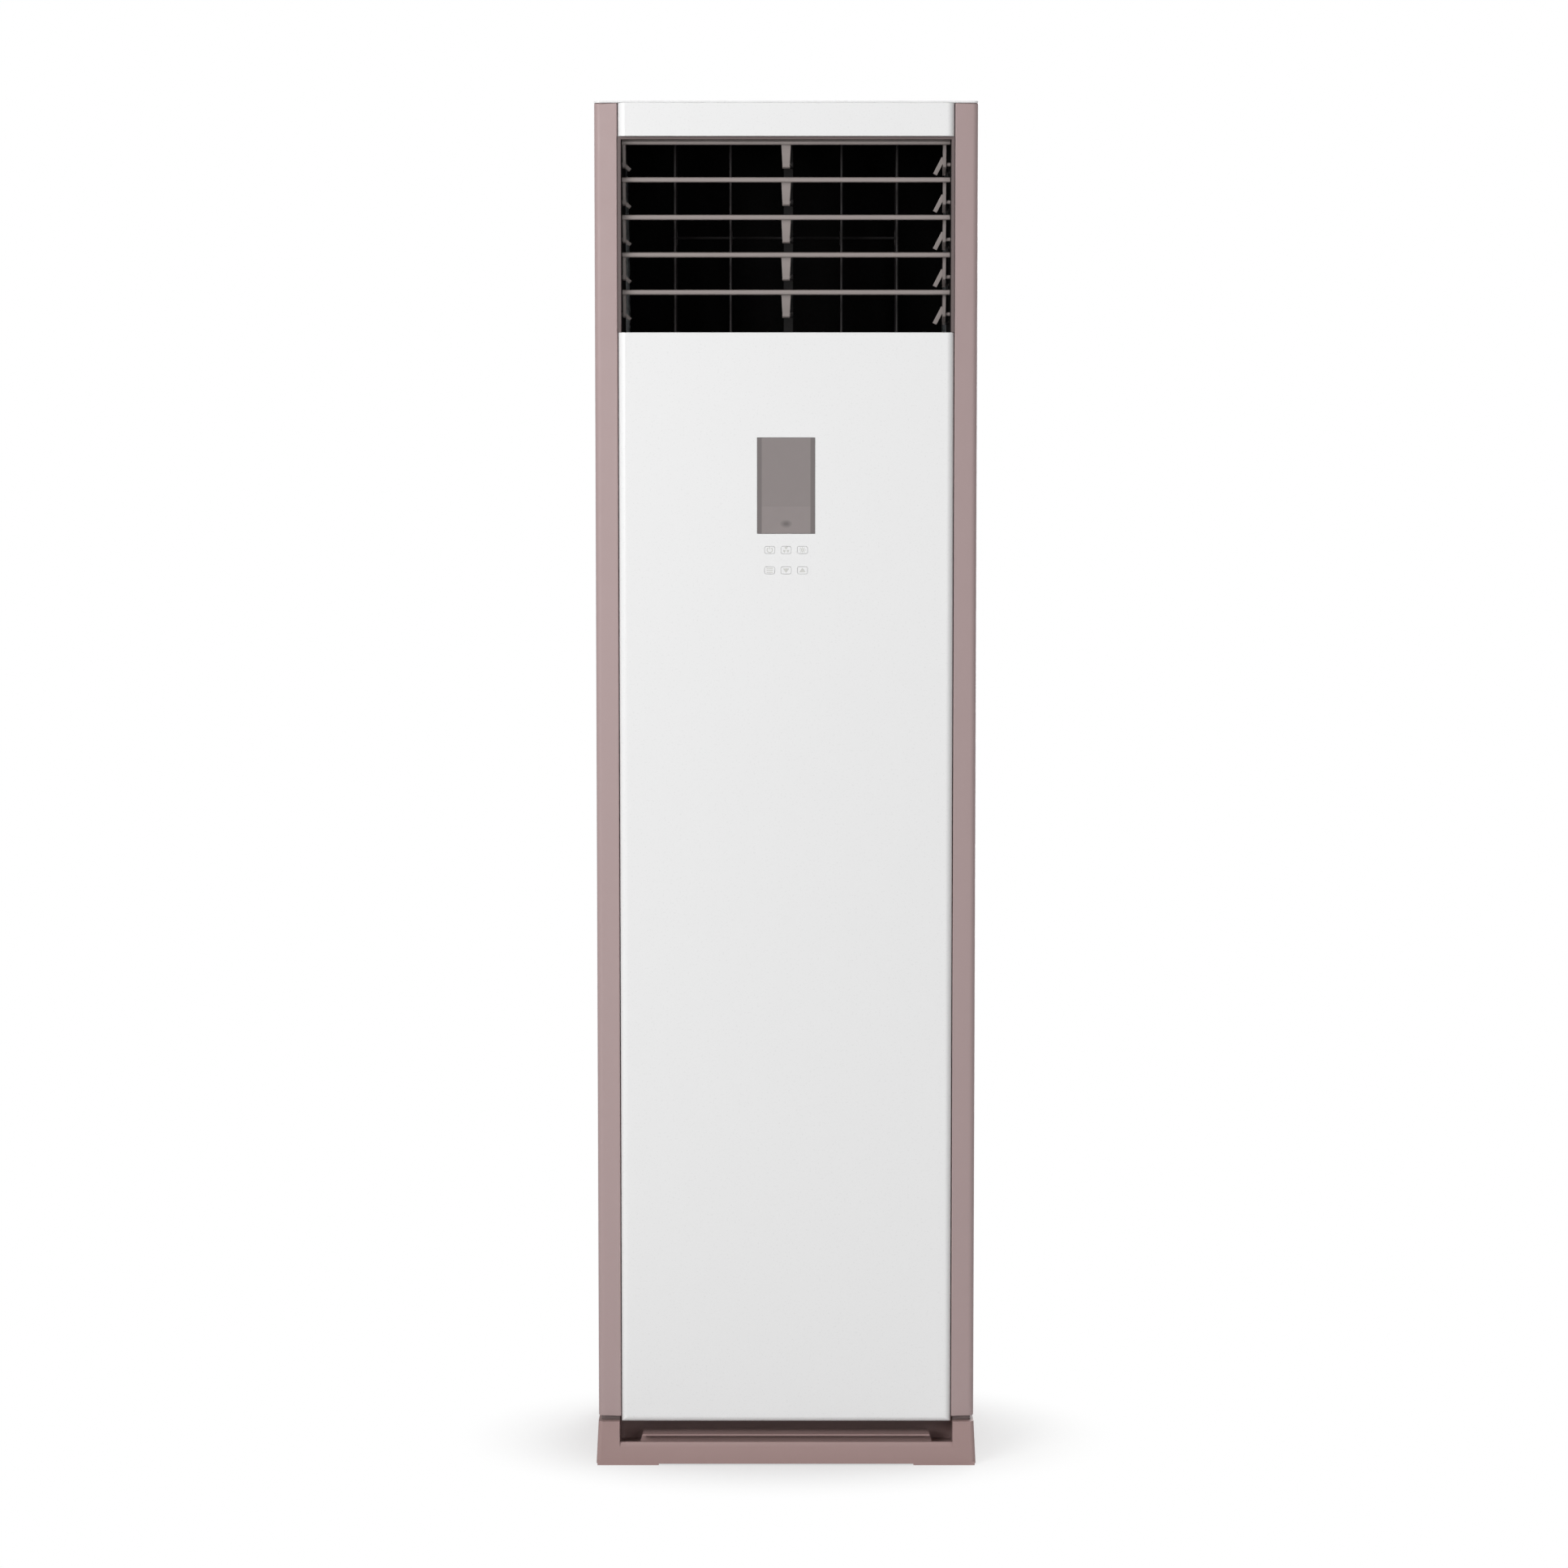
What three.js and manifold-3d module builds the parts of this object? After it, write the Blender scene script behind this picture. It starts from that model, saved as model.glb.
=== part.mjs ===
// Floor standing air conditioner: a tall indoor unit that draws room air in through its
// two sides, blows it up through a sloping evaporator and out of a louvered front outlet.
// Millimetres, +Z up, front towards -Y, +X to the right seen from the front.
// The origin is on the floor, in the middle of the plan.
import * as THREE from "three";
import { mergeVertices } from "three/addons/utils/BufferGeometryUtils.js";
import Module from "manifold-3d";

const wasm = await Module();
wasm.setup();

// ---------------------------------------------------------------- driving dimensions
const HEIGHT = 1765; // floor to the top of the lid
const WIDTH = 490; // over the two corner columns
const DEPTH = 330; // face of the front panel to the rear panel
const FOOT_FLARE = 3; // how far the base spreads at the floor, each side
const CLEAR = 0.3; // seating clearance between fixed pieces
const RUN = 0.35; // running clearance round a pin

const BASE_HEIGHT = 58;
const BASE_WALL = 3;
const PAD_HEIGHT = 2;
const PAD_LENGTH = 80; // along the front, from each end
const PAD_DEPTH = 40;
const BASE_RADIUS = 6; // corners of the base in plan
const LIP_HEIGHT = 30; // front lip of the base recess
const LIP_THICKNESS = 8;
const LIP_CHAMFER_RISE = 6.5;
const LIP_CHAMFER_RUN = 3.5;
const RECESS_DEPTH = 62;
const RECESS_MARGIN = 2; // recess past the panel opening, each side
const CHANNEL_DEPTH = 9; // channel floor below the lip
const BAND_START = 14; // front edge of the sloped band behind the panel's face
const BAND_RUN = 20; // from that edge to the crest
const BAND_LIFT = 5.6; // underside of the band's front edge above the lip
const BAND_CREST = 10.9; // crest above the lip
const BAND_FALL = 10; // fall from the crest to the back of the recess
const BAND_EDGE = 2;
const BAND_UNDERCUT = 12;
const BAND_TAPER = 6; // slant of the band's ends
const BAND_INSET = 25; // bare pocket at each end of the sloped band
const SEAM_HEIGHT = 6; // dark joint between base and columns

const COLUMN_FACE = 29.5; // front face of a column
const COLUMN_CROWN = 2; // how far the face falls back towards the outer corner
const COLUMN_WRAP = 61; // how far a column runs back along the side
const COLUMN_SETBACK = 6; // column face behind the panel face
const COLUMN_WALL = 2.5;
const COLUMN_RADIUS = 8;
const COLUMN_RETURN = 20; // inner flange beside the front panel

const PANEL_GAP = 0.8; // visible gap between panel and column
const PANEL_WALL = 3;
const PANEL_FLANGE = 15; // depth of the panel's turned edges
const PANEL_RADIUS = 10;
const PANEL_LAP = 1; // panel's lower edge below the top of the base
const LID_THICKNESS = 2.4;
const LID_SKIRT = 12;
const HEADER_HEIGHT = 41.9;
const OUTLET_HEIGHT = 248.7; // header to front panel
const BEZEL_STRIP = 4.5; // visible frame strip beside the outlet
const BEZEL_TOP = 3.6; // and above it

const DISPLAY_WIDTH = 74;
const DISPLAY_HEIGHT = 122.5;
const DISPLAY_DROP = 134; // panel's top edge to the display
const KEY_WIDTH = 13;
const KEY_HEIGHT = 9;
const KEY_PITCH_X = 21;
const KEY_PITCH_Z = 26;
const KEY_COLUMNS = 3;
const KEY_ROWS = 2;
const KEY_DROP = 21; // display to the middle of the upper row
const KEY_TRAVEL = 0.6;

const SHEET = 1.2; // steel sheet of the cabinet
const INTAKE_GAP = 6; // column to the intake grille
const INTAKE_LENGTH = 140; // window in the side panel, from front to back
const INTAKE_Z = [150, 600];
const INTAKE_FRAME = 12; // grille's frame round the window
const GRILLE_THICKNESS = 3.6;
const SLAT_PITCH = 22.5;
const SLAT_THICKNESS = 2;
const SLAT_SLOPE = 3; // fall of a slat across the grille
const FILTER_THICKNESS = 12;

const LOUVER_COUNT = 5;
const LOUVER_PITCH = 47.7;
const LOUVER_CHORD = 46;
const LOUVER_LIP = 6.6; // front edge
const LOUVER_TAIL = 1.6; // rear edge
const LOUVER_OFFSET = 27; // pivot below the blade
const LOUVER_DROP = 5.8; // header to the middle of the top blade
const LOUVER_BACK = 44; // pivot behind the panel's face
const LEG_WIDTH = 9.5; // centre leg at its pivot
const LEG_SPREAD = 3; // how much wider the leg is at the blade
const CHEEK = 4; // end plate of a louver
const BLADE_GAP = 1; // blade's end to the duct wall
const EAR_DEPTH = 17; // front part of the blade that runs past the link rod
const PIVOT_RADIUS = 2.5;
const CRANK_ARM = 16;
const CRANK_ANGLE = -35; // degrees, seen from the right: behind and below the pivot
const CRANK_RADIUS = 1.8;
const LINK_WIDTH = 8;
const LINK_THICKNESS = 3;
const LINK_GAP = 0.8; // each side of the link rod

const DUCT_WALL = 3;
const DUCT_HEADROOM = 9; // duct roof above the header's lower edge
const DUCT_BACK = 160; // rear edge of the duct behind the panel's face
const POST_BACK = 80; // centre post behind the panel's face
const VANE_COUNT = 5;
const VANE_PITCH = 72;
const VANE_THICKNESS = 2;
const VANE_BACK = 129; // pivot behind the panel's face
const VANE_FRONT_REACH = 39;
const VANE_REAR_REACH = 26;
const VANE_CRANK = 20;

const IMPELLER_RADIUS = 155;
const BLADE_COUNT = 32;
const BLADE_CHORD = 25; // radial depth of the blade ring
const FAN_Z = 320;
const SCROLL_GROWTH = 40; // how much the spiral opens from the tongue to the outlet
const SCROLL_GAP = 11; // tongue to impeller
const SCROLL_WALL = 2.5;
const SCROLL_BRIM = 8; // collar under the deck
const SCROLL_SIDE_GAP = 1.7; // collar to the left filter
const SCROLL_MOUTH = 100; // right wall of the scroll's outlet from the fan's axis
const SCROLL_FRONT = 115; // scroll's front wall behind the panel's face
const TONGUE_ANGLE = 65;
const SHAFT_RADIUS = 6;
const FOOT_PLACES = [-110, 90]; // scroll's feet from the fan's axis
const MOTOR_RADIUS = 55;
const MOTOR_LENGTH = 62;
const MOTOR_GAP = 16.2; // motor to the rear panel
const BRACKET_THICKNESS = 2;
const DECK_Z = 622;

const COIL_LENGTH = 700;
const COIL_THICKNESS = 38;
const COIL_FOOT_Z = 670;
const COIL_FOOT_BACK = 60; // lower end behind the panel's face
const COIL_HEAD_GAP = 51.4; // upper end to the rear panel's face
const FIN_COUNT = 14;
const BEND_COUNT = 4;
const BEND_FOOT = 100; // coil's foot to the first return bend
const BEND_HEAD = 80; // last return bend to the coil's head
const PAN_HEIGHT = 50;
const PAN_DEPTH = 88;
const GAS_RADIUS = 8;
const LIQUID_RADIUS = 4.8;
const HOSE_RADIUS = 9;
const HOSE_INSET = 21; // drain spout from the outlet's side
const PORT_RADIUS = 38; // pipe port in the rear panel
const PORT_INSET = 95; // pipe port and cable gland from the cabinet's side
const PORT_Z = 140;
const GLAND_RADIUS = 9;
const RIB_COUNT = 4; // pressed ribs across the rear panel
const RIB_PITCH = 320;
const RIB_RISE = 220; // fan's axis to the first rib
const RIB_HALF = 170;
const RIB_RADIUS = 14;
const RIB_PRESS = 1.4;

const BOX_WIDTH = 240; // electric box under the deck
const BOX_HEIGHT = 138;
const BOX_DEPTH = 68;
const BOX_DROP = 12; // deck to the top of the box

// ---------------------------------------------------------------- derived places
const FRONT = -DEPTH / 2;
const REAR = DEPTH / 2;
const HALF = WIDTH / 2;
const columnFront = FRONT + COLUMN_SETBACK;
const columnInner = HALF - COLUMN_FACE;
const columnBottom = BASE_HEIGHT + SEAM_HEIGHT;
const columnTop = HEIGHT - LID_THICKNESS - CLEAR;
const panelHalf = columnInner - PANEL_GAP;
const panelInside = FRONT + PANEL_WALL;
const headerTop = columnTop;
const headerBottom = headerTop - HEADER_HEIGHT;
const panelTop = headerBottom - OUTLET_HEIGHT;
const panelBottom = BASE_HEIGHT - PANEL_LAP;
const outletHalf = columnInner - BEZEL_STRIP;
const flangeBack = FRONT + PANEL_FLANGE;
const sideOuter = HALF - COLUMN_WALL - CLEAR; // the side sheet slips inside the column
const sideInner = sideOuter - SHEET;
const sheetBottom = columnBottom;
const portX = HALF - PORT_INSET;
const displayTop = panelTop - DISPLAY_DROP;
const displayBottom = displayTop - DISPLAY_HEIGHT;
const recessHalf = columnInner + RECESS_MARGIN;
const recessBack = FRONT + RECESS_DEPTH;
const filterInner = sideOuter - FILTER_THICKNESS;
const scrollStart = IMPELLER_RADIUS + SCROLL_GAP;
const scrollReach = scrollStart + SCROLL_GROWTH + SCROLL_WALL;
// The side intakes stand behind the columns, and the scroll's collar beside the left filter.
const intakeFront = columnFront + COLUMN_WRAP + INTAKE_GAP + INTAKE_FRAME;
const intakeY = [intakeFront, intakeFront + INTAKE_LENGTH];
const fanX = scrollReach + SCROLL_BRIM + SCROLL_SIDE_GAP - filterInner;

// ---------------------------------------------------------------- finishes
function finish(color, roughness, metalness = 0) {
  return new THREE.MeshStandardMaterial({ color, roughness, metalness });
}
const rose = finish(0xa6918f, 0.45);
const white = finish(0xe9e9ea, 0.35);
const coated = finish(0xe3e3e3, 0.5);
const taupe = finish(0x9c9492, 0.5);
const darkTaupe = finish(0x61534f, 0.5);
const black = finish(0x151314, 0.6);
const smoked = finish(0x898280, 0.2);
const zinc = finish(0xb4b8ba, 0.45, 0.9);
const aluminium = finish(0xc9ccce, 0.4, 0.9);
const copper = finish(0xb87350, 0.35, 0.9);
const foam = finish(0xe4e2dc, 0.9);
const darkFoam = finish(0x1c1a1a, 0.9);
const grey = finish(0xcfcfcb, 0.6);
const meshCloth = finish(0x5d6468, 0.8);
const rubber = finish(0x232323, 0.85);
const boardGreen = finish(0x2f6b45, 0.6);

// ---------------------------------------------------------------- shape helpers
const radians = THREE.MathUtils.degToRad;
const PIN_SIDES = 8;
const SPILL = 1; // how far a cutting tool runs past the face that it cuts

// A closed three.js geometry as a solid that can be joined and cut.
function toSolid(geometry) {
  const plain = geometry.index ? geometry.toNonIndexed() : geometry.clone();
  plain.deleteAttribute("normal");
  plain.deleteAttribute("uv");
  const merged = mergeVertices(plain, 1e-4);
  const corners = merged.index.array;
  const kept = [];
  for (let i = 0; i < corners.length; i += 3) {
    const [a, b, c] = [corners[i], corners[i + 1], corners[i + 2]];
    if (a !== b && b !== c && c !== a) kept.push(a, b, c);
  }
  return new wasm.Manifold(
    new wasm.Mesh({
      numProp: 3,
      vertProperties: merged.attributes.position.array,
      triVerts: new Uint32Array(kept),
    }),
  );
}

function toGeometry(solid) {
  const mesh = solid.getMesh();
  const geometry = new THREE.BufferGeometry();
  geometry.setAttribute("position", new THREE.BufferAttribute(mesh.vertProperties, 3));
  geometry.setIndex(new THREE.BufferAttribute(mesh.triVerts, 1));
  geometry.computeVertexNormals();
  return geometry;
}

const join = (first, ...rest) => rest.reduce((sum, piece) => sum.add(piece), first);
const cut = (first, ...rest) => rest.reduce((left, tool) => left.subtract(tool), first);

function block([x0, x1], [y0, y1], [z0, z1]) {
  const geometry = new THREE.BoxGeometry(x1 - x0, y1 - y0, z1 - z0);
  geometry.translate((x0 + x1) / 2, (y0 + y1) / 2, (z0 + z1) / 2);
  return toSolid(geometry);
}

// A round bar along one axis, from one value to another, through the point (u, v)
// given in the order of the two other axes.
function bar(axis, radius, [from, to], [u, v], sides = PIN_SIDES) {
  const geometry = new THREE.CylinderGeometry(radius, radius, to - from, sides);
  const middle = (from + to) / 2;
  if (axis === "x") geometry.rotateZ(-Math.PI / 2).translate(middle, u, v);
  if (axis === "y") geometry.translate(u, middle, v);
  if (axis === "z") geometry.rotateX(Math.PI / 2).translate(u, v, middle);
  return toSolid(geometry);
}

// The tool for a round hole: its flats, not its corners, lie at the radius.
function drill(axis, radius, span, place, sides = PIN_SIDES) {
  return bar(axis, radius / Math.cos(Math.PI / sides), span, place, sides);
}

function roundedOutline([x0, x1], [y0, y1], radius) {
  const outline = new THREE.Shape();
  outline.absarc(x1 - radius, y1 - radius, radius, 0, Math.PI / 2);
  outline.absarc(x0 + radius, y1 - radius, radius, Math.PI / 2, Math.PI);
  outline.absarc(x0 + radius, y0 + radius, radius, Math.PI, Math.PI * 1.5);
  outline.absarc(x1 - radius, y0 + radius, radius, Math.PI * 1.5, Math.PI * 2);
  return outline;
}

function outlineOf(points) {
  return new THREE.Shape(points.map(([a, b]) => new THREE.Vector2(a, b)));
}

// Prisms of an outline drawn in plan (x, y), in elevation (x, z) or in side view (y, z).
function prismXY(outline, [z0, z1], curveSegments = 2) {
  const geometry = new THREE.ExtrudeGeometry(outline, {
    depth: z1 - z0,
    bevelEnabled: false,
    curveSegments,
  });
  return toSolid(geometry.translate(0, 0, z0));
}
function prismXZ(outline, [y0, y1], curveSegments = 2) {
  const geometry = new THREE.ExtrudeGeometry(outline, {
    depth: y1 - y0,
    bevelEnabled: false,
    curveSegments,
  });
  return toSolid(geometry.rotateX(Math.PI / 2).translate(0, y1, 0));
}
function prismYZ(outline, [x0, x1], curveSegments = 2) {
  const geometry = new THREE.ExtrudeGeometry(outline, {
    depth: x1 - x0,
    bevelEnabled: false,
    curveSegments,
  });
  geometry.rotateX(Math.PI / 2).rotateZ(Math.PI / 2);
  return toSolid(geometry.translate(x0, 0, 0));
}

// A slab in elevation whose front edges are rounded: its face lies at y0.
function softSlab([x0, x1], [z0, z1], [y0, y1], radius) {
  const outline = outlineOf([[x0, z0], [x1, z0], [x1, z1], [x0, z1]]);
  const spare = radius; // the rear rounding, cut away below
  const geometry = new THREE.ExtrudeGeometry(outline, {
    depth: y1 - y0 + spare - radius,
    bevelThickness: radius,
    bevelSize: radius,
    bevelOffset: -radius,
    bevelSegments: 4,
  });
  geometry.rotateX(Math.PI / 2).translate(0, y1 + spare, 0);
  const behind = block([x0 - 1, x1 + 1], [y1, y1 + 3 * spare], [z0 - 1, z1 + 1]);
  return cut(toSolid(geometry), behind);
}

// A body of revolution about an axis along Y through (x, z).
function turned(profile, [x, z], segments = 40) {
  const points = profile.map(([radius, y]) => new THREE.Vector2(radius, y));
  points.push(points[0].clone());
  const geometry = new THREE.LatheGeometry(points, segments);
  return toSolid(geometry.translate(x, 0, z));
}

// A round tube or rod along a smooth route.
function routed(points, radius, sides = 8, steps = 40) {
  const route = new THREE.CatmullRomCurve3(
    points.map(([x, y, z]) => new THREE.Vector3(x, y, z)),
    false,
    "centripetal",
  );
  const section = new THREE.Shape();
  section.absarc(0, 0, radius, 0, Math.PI * 2);
  const geometry = new THREE.ExtrudeGeometry(section, {
    extrudePath: route,
    steps,
    curveSegments: sides / 2,
    bevelEnabled: false,
  });
  return toSolid(geometry);
}

// ---------------------------------------------------------------- assembly
const unit = new THREE.Group();

function add(name, solid, material, parent = unit) {
  const mesh = new THREE.Mesh(toGeometry(solid), material);
  mesh.name = name;
  parent.add(mesh);
  return mesh;
}
function groupAt(x, y, z) {
  const group = new THREE.Group();
  group.position.set(x, y, z);
  unit.add(group);
  return group;
}
// The same piece for both sides: side is -1 on the left and 1 on the right.
function mirrored(solid, side) {
  if (side > 0) return solid;
  const geometry = toGeometry(solid);
  geometry.scale(-1, 1, 1);
  const turnedRound = geometry.index.array.slice();
  for (let i = 0; i < turnedRound.length; i += 3) {
    [turnedRound[i + 1], turnedRound[i + 2]] = [turnedRound[i + 2], turnedRound[i + 1]];
  }
  geometry.setIndex(new THREE.BufferAttribute(turnedRound, 1));
  return toSolid(geometry);
}
const sides = [["left", -1], ["right", 1]];

// ---------------------------------------------------------------- base
// Moulded tray: flared foot, chamfered front lip, a recess under the panel with a
// sloped band in it, a hollow underside with ribs, and four pads.
function makeBase() {
  const [z0, z1] = [PAD_HEIGHT, BASE_HEIGHT];
  const plan = roundedOutline([-HALF, HALF], [FRONT, REAR], BASE_RADIUS);
  const flare = (geometry) => {
    const places = geometry.attributes.position;
    for (let i = 0; i < places.count; i += 1) {
      const spread = 1 + ((FOOT_FLARE / HALF) * (BASE_HEIGHT - places.getZ(i))) / BASE_HEIGHT;
      places.setX(i, places.getX(i) * spread);
    }
    return geometry;
  };
  const lipTop = LIP_HEIGHT;
  const lipBack = FRONT + LIP_THICKNESS;
  const floor = LIP_HEIGHT - CHANNEL_DEPTH;
  const spanX = [-recessHalf, recessHalf];
  const channel = block(spanX, [lipBack, recessBack], [floor, z1 + SPILL]);
  const over = block(spanX, [FRONT - SPILL, recessBack], [lipTop, z1 + SPILL]);
  const chamfer = prismYZ(
    outlineOf([
      [FRONT - SPILL, lipTop - LIP_CHAMFER_RISE],
      [FRONT, lipTop - LIP_CHAMFER_RISE],
      [FRONT + LIP_CHAMFER_RUN, lipTop],
      [FRONT + LIP_CHAMFER_RUN, lipTop + SPILL],
      [FRONT - SPILL, lipTop + SPILL],
    ]),
    spanX,
  );
  // The band rises from an undercut front edge to a crest and falls to the back; its
  // ends slope in to the pockets.
  const bandHalf = recessHalf - BAND_INSET;
  const bandFront = FRONT + BAND_START;
  const bandFoot = bandFront + BAND_UNDERCUT;
  const bandUnder = LIP_HEIGHT + BAND_LIFT;
  const bandHigh = LIP_HEIGHT + BAND_CREST;
  const bandRear = bandHigh - BAND_FALL;
  const band = prismYZ(
    outlineOf([
      [bandFoot, floor - SPILL],
      [recessBack + SPILL, floor - SPILL],
      [recessBack + SPILL, bandRear],
      [bandFront + BAND_RUN, bandHigh],
      [bandFront, bandUnder + BAND_EDGE],
      [bandFront, bandUnder],
      [bandFoot, bandUnder],
    ]),
    [-bandHalf, bandHalf],
  );
  const bandEnds = prismXZ(
    outlineOf([
      [-bandHalf, floor - SPILL],
      [bandHalf, floor - SPILL],
      [bandHalf - BAND_TAPER, bandHigh + SPILL],
      [BAND_TAPER - bandHalf, bandHigh + SPILL],
    ]),
    [bandFront - SPILL, recessBack + SPILL],
  );
  const outer = toSolid(
    flare(
      new THREE.ExtrudeGeometry(plan, {
        depth: z1 - z0,
        bevelEnabled: false,
        curveSegments: 4,
      }).translate(0, 0, z0),
    ),
  );
  // Hollow underside, with ribs from front to back.
  const wall = BASE_WALL;
  const hollowLow = floor - wall;
  const wellX = [wall - HALF, HALF - wall];
  const bandWellHalf = bandHalf - BAND_TAPER - wall;
  const wellFront = block(wellX, [FRONT + wall, recessBack + wall], [z0 - SPILL, hollowLow]);
  const wellBack = block(wellX, [recessBack + wall, REAR - wall], [z0 - SPILL, z1 - wall]);
  const wellBand = block(
    [-bandWellHalf, bandWellHalf],
    [bandFoot + wall, recessBack + wall],
    [z0 - SPILL, bandRear - wall],
  );
  const ribs = [];
  for (const x of [-HALF / 2, 0, HALF / 2]) {
    const rib = [x - wall / 2, x + wall / 2];
    ribs.push(
      block(rib, [FRONT + 1, REAR - 1], [z0, hollowLow + 1]),
      block(rib, [recessBack + 1, REAR - 1], [z0, z1 - 1]),
    );
  }
  const pads = [];
  for (const [, side] of sides) {
    for (const end of [-1, 1]) {
      const reach = (HALF + FOOT_FLARE / 2) * side;
      const inner = reach - side * PAD_LENGTH;
      const spanX = [Math.min(reach, inner), Math.max(reach, inner)];
      const face = end < 0 ? FRONT : REAR;
      const spanY = end < 0 ? [face, face + PAD_DEPTH] : [face - PAD_DEPTH, face];
      pads.push(block(spanX, spanY, [0, PAD_HEIGHT + BASE_WALL]));
    }
  }
  const shell = join(cut(outer, channel, over, chamfer), band.intersect(bandEnds));
  return join(cut(shell, wellFront, wellBack, wellBand), ...ribs, ...pads);
}
add("base_tray", makeBase(), rose);

// Dark ring between the base and the cabinet: it shows as the joint under the columns.
function makePlinth() {
  const inset = 4;
  const half = HALF - inset;
  const front = columnFront + inset;
  const ringWidth = 26;
  const span = [BASE_HEIGHT + CLEAR, columnBottom - CLEAR];
  const tall = [span[0] - SPILL, span[1] + SPILL];
  const plan = roundedOutline([-half, half], [front, REAR - inset], COLUMN_RADIUS - inset);
  return cut(
    prismXY(plan, span),
    block([-recessHalf, recessHalf], [front - SPILL, recessBack], tall),
    block([ringWidth - half, half - ringWidth], [recessBack + ringWidth, REAR - ringWidth], tall),
  );
}
add("plinth_ring", makePlinth(), darkTaupe);

// Folded steel tray that stands on the ring and closes the fan room below.
const panHalf = sideInner - CLEAR;
const panFront = recessBack + 8;
const rearInside = REAR - SHEET - CLEAR - SHEET; // inner face of the side sheets' rear flanges
const panBack = rearInside - CLEAR;
const panTop = columnBottom + SHEET;
function makeBasePan() {
  const rim = 20;
  const outer = block([-panHalf, panHalf], [panFront, panBack], [columnBottom, panTop + rim]);
  const inner = block(
    [SHEET - panHalf, panHalf - SHEET],
    [panFront + SHEET, panBack - SHEET],
    [panTop, panTop + rim + 1],
  );
  return cut(outer, inner);
}
add("base_pan", makeBasePan(), zinc);

// ---------------------------------------------------------------- covers
function makeColumn() {
  const wall = COLUMN_WALL;
  const r = COLUMN_RADIUS;
  const sideEnd = columnFront + COLUMN_WRAP;
  const cornerY = columnFront + COLUMN_CROWN + r;
  const edge = 1.5; // rounding beside the front panel
  const outline = new THREE.Shape();
  outline.moveTo(columnInner, columnFront + COLUMN_RETURN);
  outline.lineTo(columnInner, columnFront + edge);
  outline.absarc(columnInner + edge, columnFront + edge, edge, Math.PI, Math.PI * 1.5);
  outline.absarc(HALF - r, cornerY, r, -Math.PI / 2, 0);
  outline.lineTo(HALF, sideEnd);
  outline.lineTo(HALF - wall, sideEnd);
  outline.absarc(HALF - r, cornerY, r - wall, 0, -Math.PI / 2, true);
  outline.lineTo(columnInner + wall, columnFront + wall);
  outline.lineTo(columnInner + wall, columnFront + COLUMN_RETURN);
  return prismXY(outline, [columnBottom, columnTop], 3);
}
const column = makeColumn();
for (const [name, side] of sides) add(`column_${name}`, mirrored(column, side), rose);

// Key places, counted from the upper left key.
const keyPlaces = [];
for (let row = 0; row < KEY_ROWS; row += 1) {
  for (let col = 0; col < KEY_COLUMNS; col += 1) {
    const x = (col - (KEY_COLUMNS - 1) / 2) * KEY_PITCH_X;
    keyPlaces.push([x, displayBottom - KEY_DROP - row * KEY_PITCH_Z]);
  }
}

function keyOutline(grow) {
  const [w, h] = [KEY_WIDTH / 2 + grow, KEY_HEIGHT / 2 + grow];
  return roundedOutline([-w, w], [-h, h], 2 + grow);
}

// Moulded trough, open to the back, with rounded side edges; soft gives how far its
// rounding reaches past the lower and the upper end, where 0 leaves that end rounded too.
function makeCover([z0, z1], [softLow, softHigh]) {
  const outer = softSlab(
    [-panelHalf, panelHalf],
    [z0 - softLow, z1 + softHigh],
    [FRONT, flangeBack],
    PANEL_RADIUS,
  );
  const inner = softSlab(
    [PANEL_WALL - panelHalf, panelHalf - PANEL_WALL],
    [z0 + PANEL_WALL - softLow, z1 - PANEL_WALL + softHigh],
    [panelInside, flangeBack + SPILL],
    PANEL_RADIUS - PANEL_WALL,
  );
  const whole = [FRONT - SPILL, flangeBack + 2 * SPILL];
  return cut(
    outer.intersect(block([-HALF, HALF], whole, [z0, z1])),
    inner.intersect(block([-HALF, HALF], whole, [z0 + PANEL_WALL, z1 - PANEL_WALL])),
  );
}
const crisp = PANEL_RADIUS * 2;

// Front cover: rounded side and lower edges, turned flanges, a window and key holes.
function makeFrontPanel() {
  const windowHole = block(
    [-DISPLAY_WIDTH / 2 - CLEAR, DISPLAY_WIDTH / 2 + CLEAR],
    [FRONT - 1, panelInside + 1],
    [displayBottom - CLEAR, displayTop + CLEAR],
  );
  let panel = cut(makeCover([panelBottom, panelTop], [0, crisp]), windowHole);
  for (const [x, z] of keyPlaces) {
    const geometry = new THREE.ExtrudeGeometry(keyOutline(CLEAR), {
      depth: PANEL_WALL + 2,
      bevelEnabled: false,
      curveSegments: 1,
    });
    geometry.rotateX(Math.PI / 2).translate(x, panelInside + 1, z);
    panel = panel.subtract(toSolid(geometry));
  }
  return panel;
}
add("front_panel", makeFrontPanel(), white);

// Cover above the outlet.
add("header_panel", makeCover([headerBottom, headerTop], [crisp, crisp]), white);

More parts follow.
